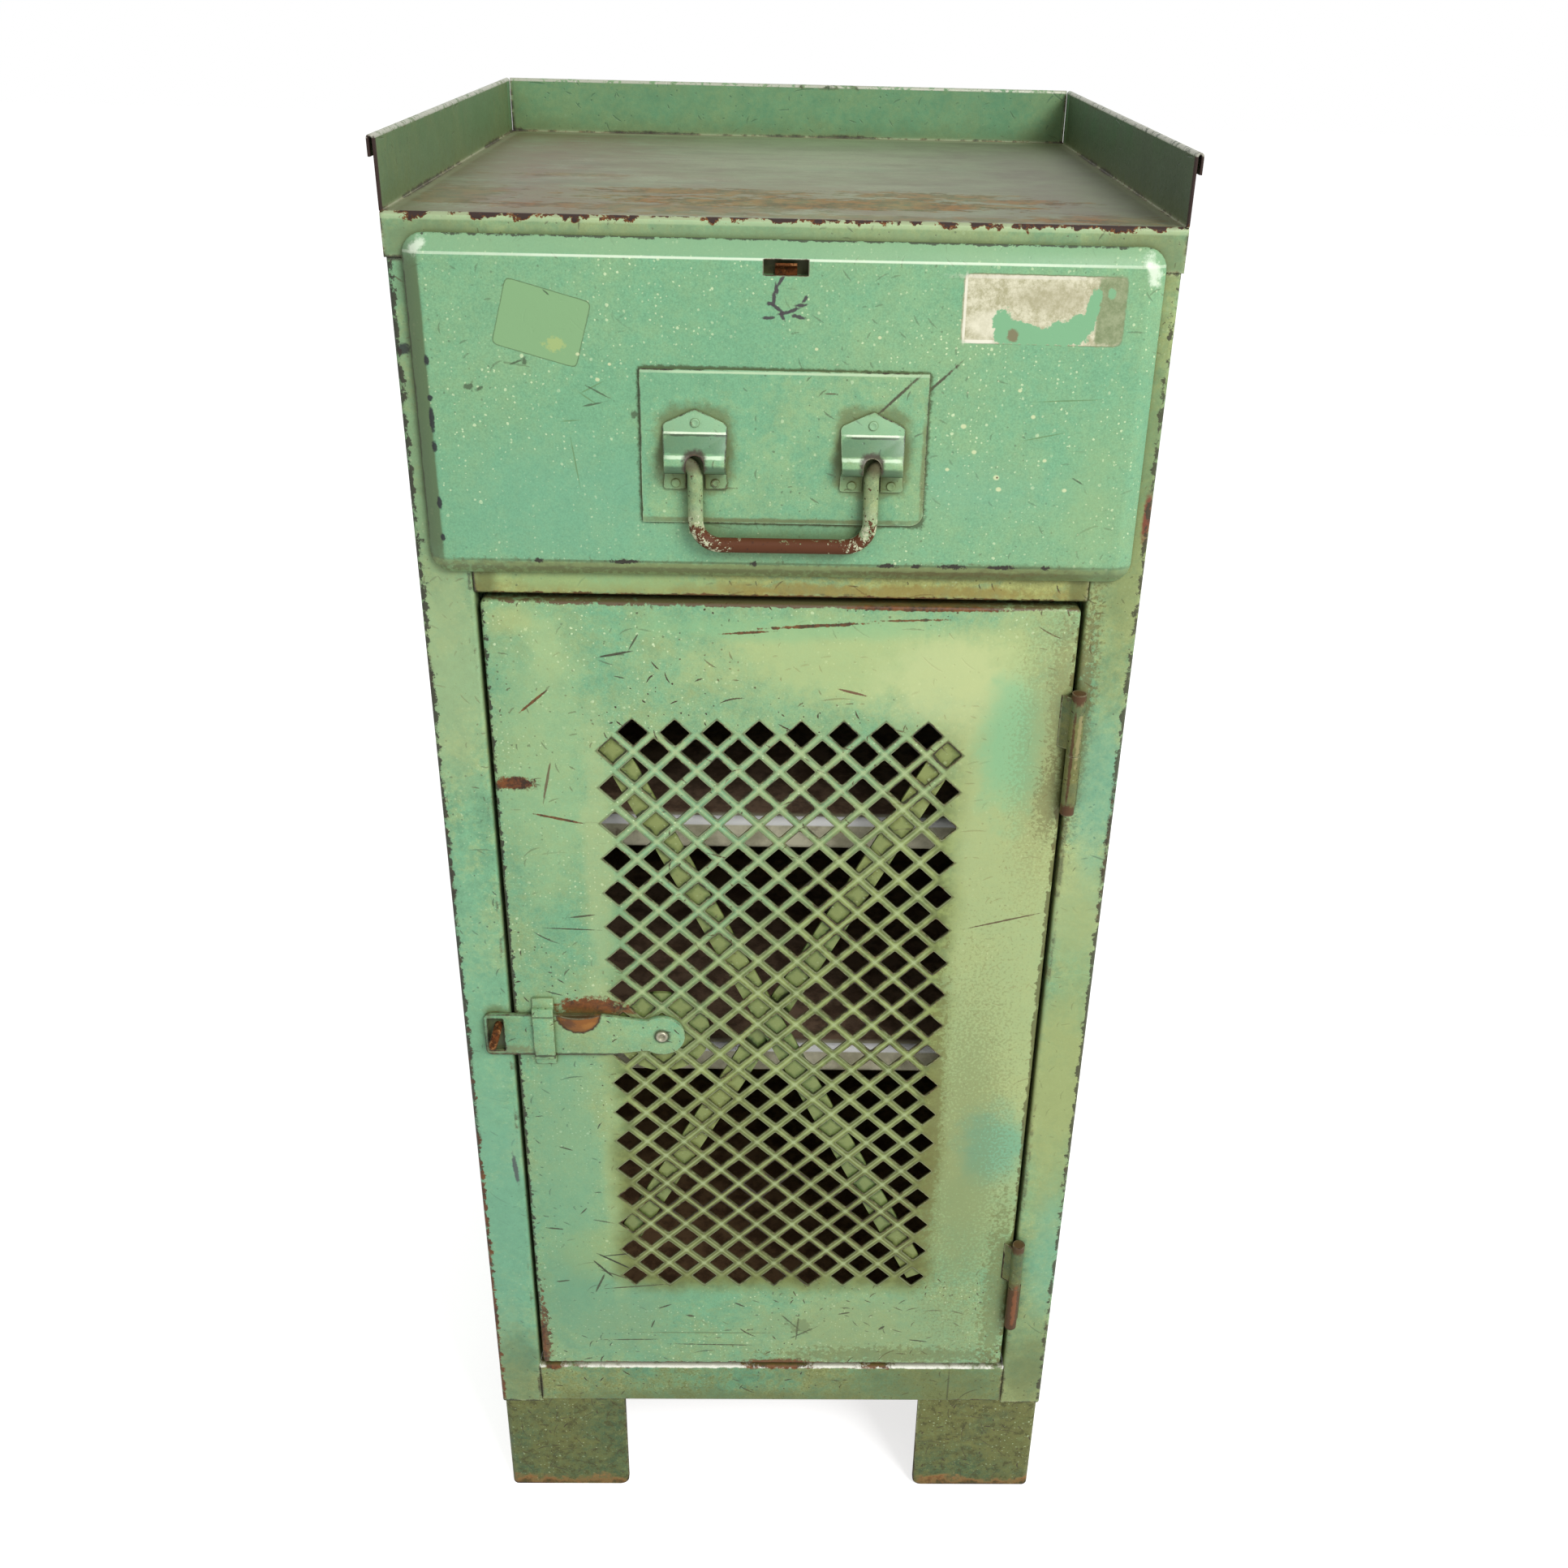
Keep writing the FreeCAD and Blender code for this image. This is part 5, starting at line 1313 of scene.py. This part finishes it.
def brace_bar(name, foot, side, joggle=()):
    """A flat bar drawn down its own length, then leant so that its foot is under the other
    corner of the perforations. Its ends reach beyond these corners."""
    length = math.hypot(2 * brace_reach, brace_top - foot)
    line = [(face_back, -length - brace_beyond), *joggle, (face_back, brace_beyond)]
    bar = folded_strip(name, line, -brace_half, brace_half, brace_gauge)
    lean = math.atan2(2 * brace_reach, brace_top - foot) * side
    turn = Matrix.Rotation(-lean, 4, "Y")
    bar.data.transform(Matrix.Translation((-side * brace_reach, 0.0, brace_top)) @ turn)
    soften(bar, 0.0004)
    finished(bar, brace_enamel, "door", name.replace("brace", "brace_bar"))


brace_bar("brace_straight", straight_foot, 1)
share_down = (brace_top - straight_foot) / (2 * brace_top - straight_foot - joggled_foot)
crossing_at = -math.hypot(2 * brace_reach, brace_top - joggled_foot) * share_down
flat = 2 * (brace_half + brace_gauge)
slope = flat + 0.012
joggle = [(face_back, crossing_at - slope), (step_over, crossing_at - flat)]
joggle += [(step_over, crossing_at + flat), (face_back, crossing_at + slope)]
brace_bar("brace_joggled", joggled_foot, -1, joggle)


# ------------------------------------------------------------------ hasp
# The hasp is a flat strap that turns on a rivet, with a slot at its free end that drops
# over a staple on the stile, and a folded keeper on the door that it slides in.

hasp = enamelled("hasp enamel", 0.25, 0.4, 0.9, 0.4, clouds=0.5)
hasp.marks([
    (-158, 561, 36, 37, 0, (58, 40, 24), 1.0, 0.25, 0.05, 260),
    (-158, 561, 32.5, 33, 0, (136, 84, 28), 1.0, 0.25, 0.08, 260),
    # Painted shade and highlight on the thumb dome: its left side darker, its right side brighter,
    # and a dark line of shadow along the strap's top edge.
    (-166, 554, 12, 9, 30, (84, 50, 24), 0.7, 1.8, 0.4, 260),
    (-150, 552, 12, 6, 20, (168, 112, 44), 0.6, 1.8, 0.4, 260),
    (-158, 560.6, 34, 1.6, 0, (58, 40, 24), 0.9, 1.0, 0.3, 200),
    (-229, 540, 6, 40, 0, (96, 72, 48), 0.6, 1.6, 0.6, 160),
    (-92, 540.5, 13.5, 13.5, 0, (54, 60, 40), 0.85, 0.5, 0.2, 260),
    (-160, 521.6, 150, 2.6, 0, (56, 58, 38), 0.85, 2.0, 0.4, 160),
    (-185, 559.6, 100, 1.6, 0, (62, 64, 42), 0.7, 2.4, 0.4, 160),
    (-215, 526, 40, 8, 0, (112, 96, 60), 0.5, 3.0, 0.5, 200),
])
hasp_enamel = hasp.wear_edges(0.0025, 0.54, 0.01, rub=0.35).done()

hasp_height = 0.5405
strap_end, strap_rivet, strap_round = -0.2333, -0.092, 0.0184
strap_back, strap_face = door_face - 0.0005, door_face - 0.0035
strap_half, neck_half = 0.01975, 0.0147
taper_start, taper_end = -0.138, -0.1065
eye_left, eye_right, eye_half = -0.2307, -0.2177, 0.01575
dome_middle, dome_half, dome_rise = -0.158, 0.017, 0.0045

low, high = hasp_height - strap_half, hasp_height + strap_half
blade = [(strap_end, low), (taper_start, low), (taper_end, hasp_height - neck_half)]
blade += [(taper_end, hasp_height + neck_half), (taper_start, high), (strap_end, high)]
blade = rounded_outline(blade, [0.005, 0.008, 0, 0, 0.008, 0.005])
head = []
for angle in map(math.radians, range(-126, 130, 12)):
    x = strap_rivet + strap_round * math.cos(angle)
    head.append(Vector((x, hasp_height + strap_round * math.sin(angle))))
blade[15:15] = head
bottom, top = hasp_height - eye_half, hasp_height + eye_half
eye = [(eye_left, bottom), (eye_right, bottom), (eye_right, top), (eye_left, top)]
eye = rounded_outline(eye, [0.001] * 4)
strap = plate_from("hasp_strap", blade, strap_back, strap_face, [eye[::-1]])
soften(strap, 0.0005)


def thumb_dome():
    """The half dome pressed out of the strap at its upper edge, for the thumb."""
    drawing = bmesh.new()
    inward, round_it = 8, 24
    rows = []
    for i in range(inward + 1):
        radius = dome_half * (1 - i / inward)
        depth = strap_face - dome_rise * (1 - (radius / dome_half) ** 2)
        row = []
        for k in range(round_it + 1):
            angle = math.pi + math.pi * k / round_it
            x, z = dome_middle + radius * math.cos(angle), high + radius * math.sin(angle)
            row.append(drawing.verts.new((x, depth if i else strap_face + 0.0004, z - 0.0001)))
        rows.append(row)
    for near, far in zip(rows, rows[1:]):
        for k in range(round_it):
            drawing.faces.new((near[k], near[k + 1], far[k + 1], far[k]))
    bmesh.ops.remove_doubles(drawing, verts=drawing.verts, dist=0.00002)
    borders = [edge for edge in drawing.edges if edge.is_boundary]
    rim = [edge for edge in borders if all(v.co.z > high - 0.0002 for v in edge.verts)]
    back = bmesh.ops.extrude_edge_only(drawing, edges=rim)
    for item in back["geom"]:
        if isinstance(item, bmesh.types.BMVert):
            item.co.y = strap_face + 0.0004
    bmesh.ops.recalc_face_normals(drawing, faces=drawing.faces)
    return piece_drawn("thumb_dome", drawing)


finished(thumb_dome(), hasp_enamel, "latch", smooth=50)
finished(strap, hasp_enamel, "latch", "latch_strap")

band_line = [(-0.2424, 0.5105), (-0.2424, 0.518), (-0.2428, 0.51845), (-0.2457, 0.51845)]
band_line += [(-0.2464, 0.5187), (-0.2467, 0.5194), (-0.2467, 0.5661), (-0.2464, 0.5668)]
band_line += [(-0.2457, 0.5671), (-0.2428, 0.5671), (-0.2424, 0.5676), (-0.2424, 0.5751)]
keeper_left, keeper_right, keeper_gauge = -0.1942, -0.1777, 0.002
keeper = folded_strip("keeper_band", band_line, keeper_left, keeper_right, keeper_gauge)
soften(keeper, 0.0004)
finished(keeper, hasp_enamel, "door", "latch_keeper", smooth=45)

bright_rivet = Finish("rivet steel")
rubbed = grain(object_place(bright_rivet.tree), 500.0, 4.0, 0.6)
bright_rivet.coat(mixed(rubbed, (128, 118, 86), (206, 204, 186)), 0.35, rubbed)
bright_rivet.metal = 0.6
rivet_steel = bright_rivet.wear_edges(0.0015, 0.3, 0.006, 0.9).done()
head = [(0.003, -0.234), (0.003, -0.243), (0.0049, -0.2434), (0.0051, -0.2444)]
head += [(0.0045, -0.2458), (0.0037, -0.2463), (0.0029, -0.2461), (0.0022, -0.2450)]
head += [(0.0012, -0.2447), (0.0004, -0.2447)]
rivet = turned("hasp_rivet", head, [(strap_rivet, hasp_height)], 28)
finished(rivet, rivet_steel, "door", "latch_rivet", smooth=50, slot="bare_steel")

foot_x, foot_z = -0.2262, 0.53475
lean, span = math.atan2(0.004, 0.0135), math.hypot(0.004, 0.0135)
loop = [(0.0004, 0.0), (-0.01325, 0.0), (-0.01325, span), (0.0004, span)]
loop = [(foot_x + b * math.sin(lean), door_face + a, foot_z + b * math.cos(lean)) for a, b in loop]
staple = round_bar("staple_rod", bent_line(loop, [0.0037, 0.0037]), 0.00325, 18, 0.0004)
finished(staple, rusty_steel, "cabinet", "latch_staple", smooth=50, slot="rusty_steel")


# ------------------------------------------------------------------ hinges
# Two hinges of rolled knuckles on steel pins, one leaf welded to the door and one to the
# stile. They are thick with old paint, and rust has come through at their ends.

greens = (96, 116, 80), (122, 120, 74)
hinge_paint = enamelled("hinge enamel", 0.6, 0.2, 0.9, 0.8, *greens)
hinge_brown = (86, 58, 38)
hinge_paint.marks([
    (213, 850, 22, 14, 0, hinge_brown, 0.95, 2.0),
    (213, 753, 22, 14, 0, hinge_brown, 0.95, 2.0),
    (211, 800, 2, 76, 0, hinge_brown, 0.85, 3.0),
    (215, 815, 3, 40, 0, (150, 142, 98), 0.8, 3.0),
    (213, 318, 22, 10, 0, hinge_brown, 0.9, 2.0),
    (213, 244, 24, 62, 0, hinge_brown, 0.95, 1.0),
    (214, 250, 4, 44, 0, (132, 84, 54), 0.8, 3.0),
], 0.3, 200)
hinge_paint = hinge_paint.wear_edges(0.003, 0.5, 0.01).done(specular=0.2)
painted(hinge_paint, "hinge_door", "hinge_frame")
painted(rusty_steel, "hinge_pin")


# ------------------------------------------------------------------ studio
# A pale floor that carries on to a white background, one large soft lamp above and to the
# right of the front, and an even white surround.

reach = 14.0
floor_corners = [(-reach, -reach, 0), (reach, -reach, 0), (reach, reach, 0), (-reach, reach, 0)]
studio_floor = piece_of("studio_floor", floor_corners, [(0, 1, 2, 3)])
floor_material = bpy.data.materials.new("studio floor")
floor_material.use_nodes = True
tree = floor_material.node_tree
floor_shader = tree.nodes["Principled BSDF"].inputs
floor_shader["Base Color"].default_value = (0.82, 0.82, 0.82, 1.0)
floor_shader["Roughness"].default_value = 0.9
floor_shader["Specular IOR Level"].default_value = 0.0
floor_shader["Emission Color"].default_value = (1.0, 1.0, 1.0, 1.0)
seen = joined("ShaderNodeLightPath", {}, "Is Camera Ray", tree)
fill(floor_shader["Emission Strength"], seen * 0.68)
studio_floor.data.materials.append(floor_material)
studio_floor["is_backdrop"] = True

world = bpy.data.worlds.new("studio")
bpy.context.scene.world = world
world.use_nodes = True
seen = joined("ShaderNodeLightPath", {}, "Is Camera Ray", world.node_tree)
bright = higher(higher(seen, seen.beside("Is Glossy Ray")), seen.beside("Is Transmission Ray"))
background = world.node_tree.nodes["Background"].inputs
background["Color"].default_value = (1.0, 1.0, 1.0, 1.0)
fill(background["Strength"], between(bright, 0.54, 1.0))

lamp_data = bpy.data.lights.new("key lamp", "AREA")
lamp_data.size, lamp_data.energy = 2.2, 210.0
lamp = in_scene("key lamp", lamp_data)
lamp.location = (2.6, -3.4, 4.0)
towards = Vector((0.0, 0.0, 0.7)) - lamp.location
lamp.rotation_euler = towards.to_track_quat("-Z", "Y").to_euler()

camera_data = bpy.data.cameras.new("camera")
camera_data.lens = 35.3876
camera_data.shift_x = -0.022086
camera_data.shift_y = -0.016890
camera = in_scene("camera", camera_data)
camera.location = (0.001963, -1.241340, 1.309674)
camera.rotation_euler = (1.093715, -0.022547, -0.014537)
bpy.context.scene.camera = camera

bpy.context.scene.view_settings.view_transform = "Standard"

visual_box = [list(corner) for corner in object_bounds()]
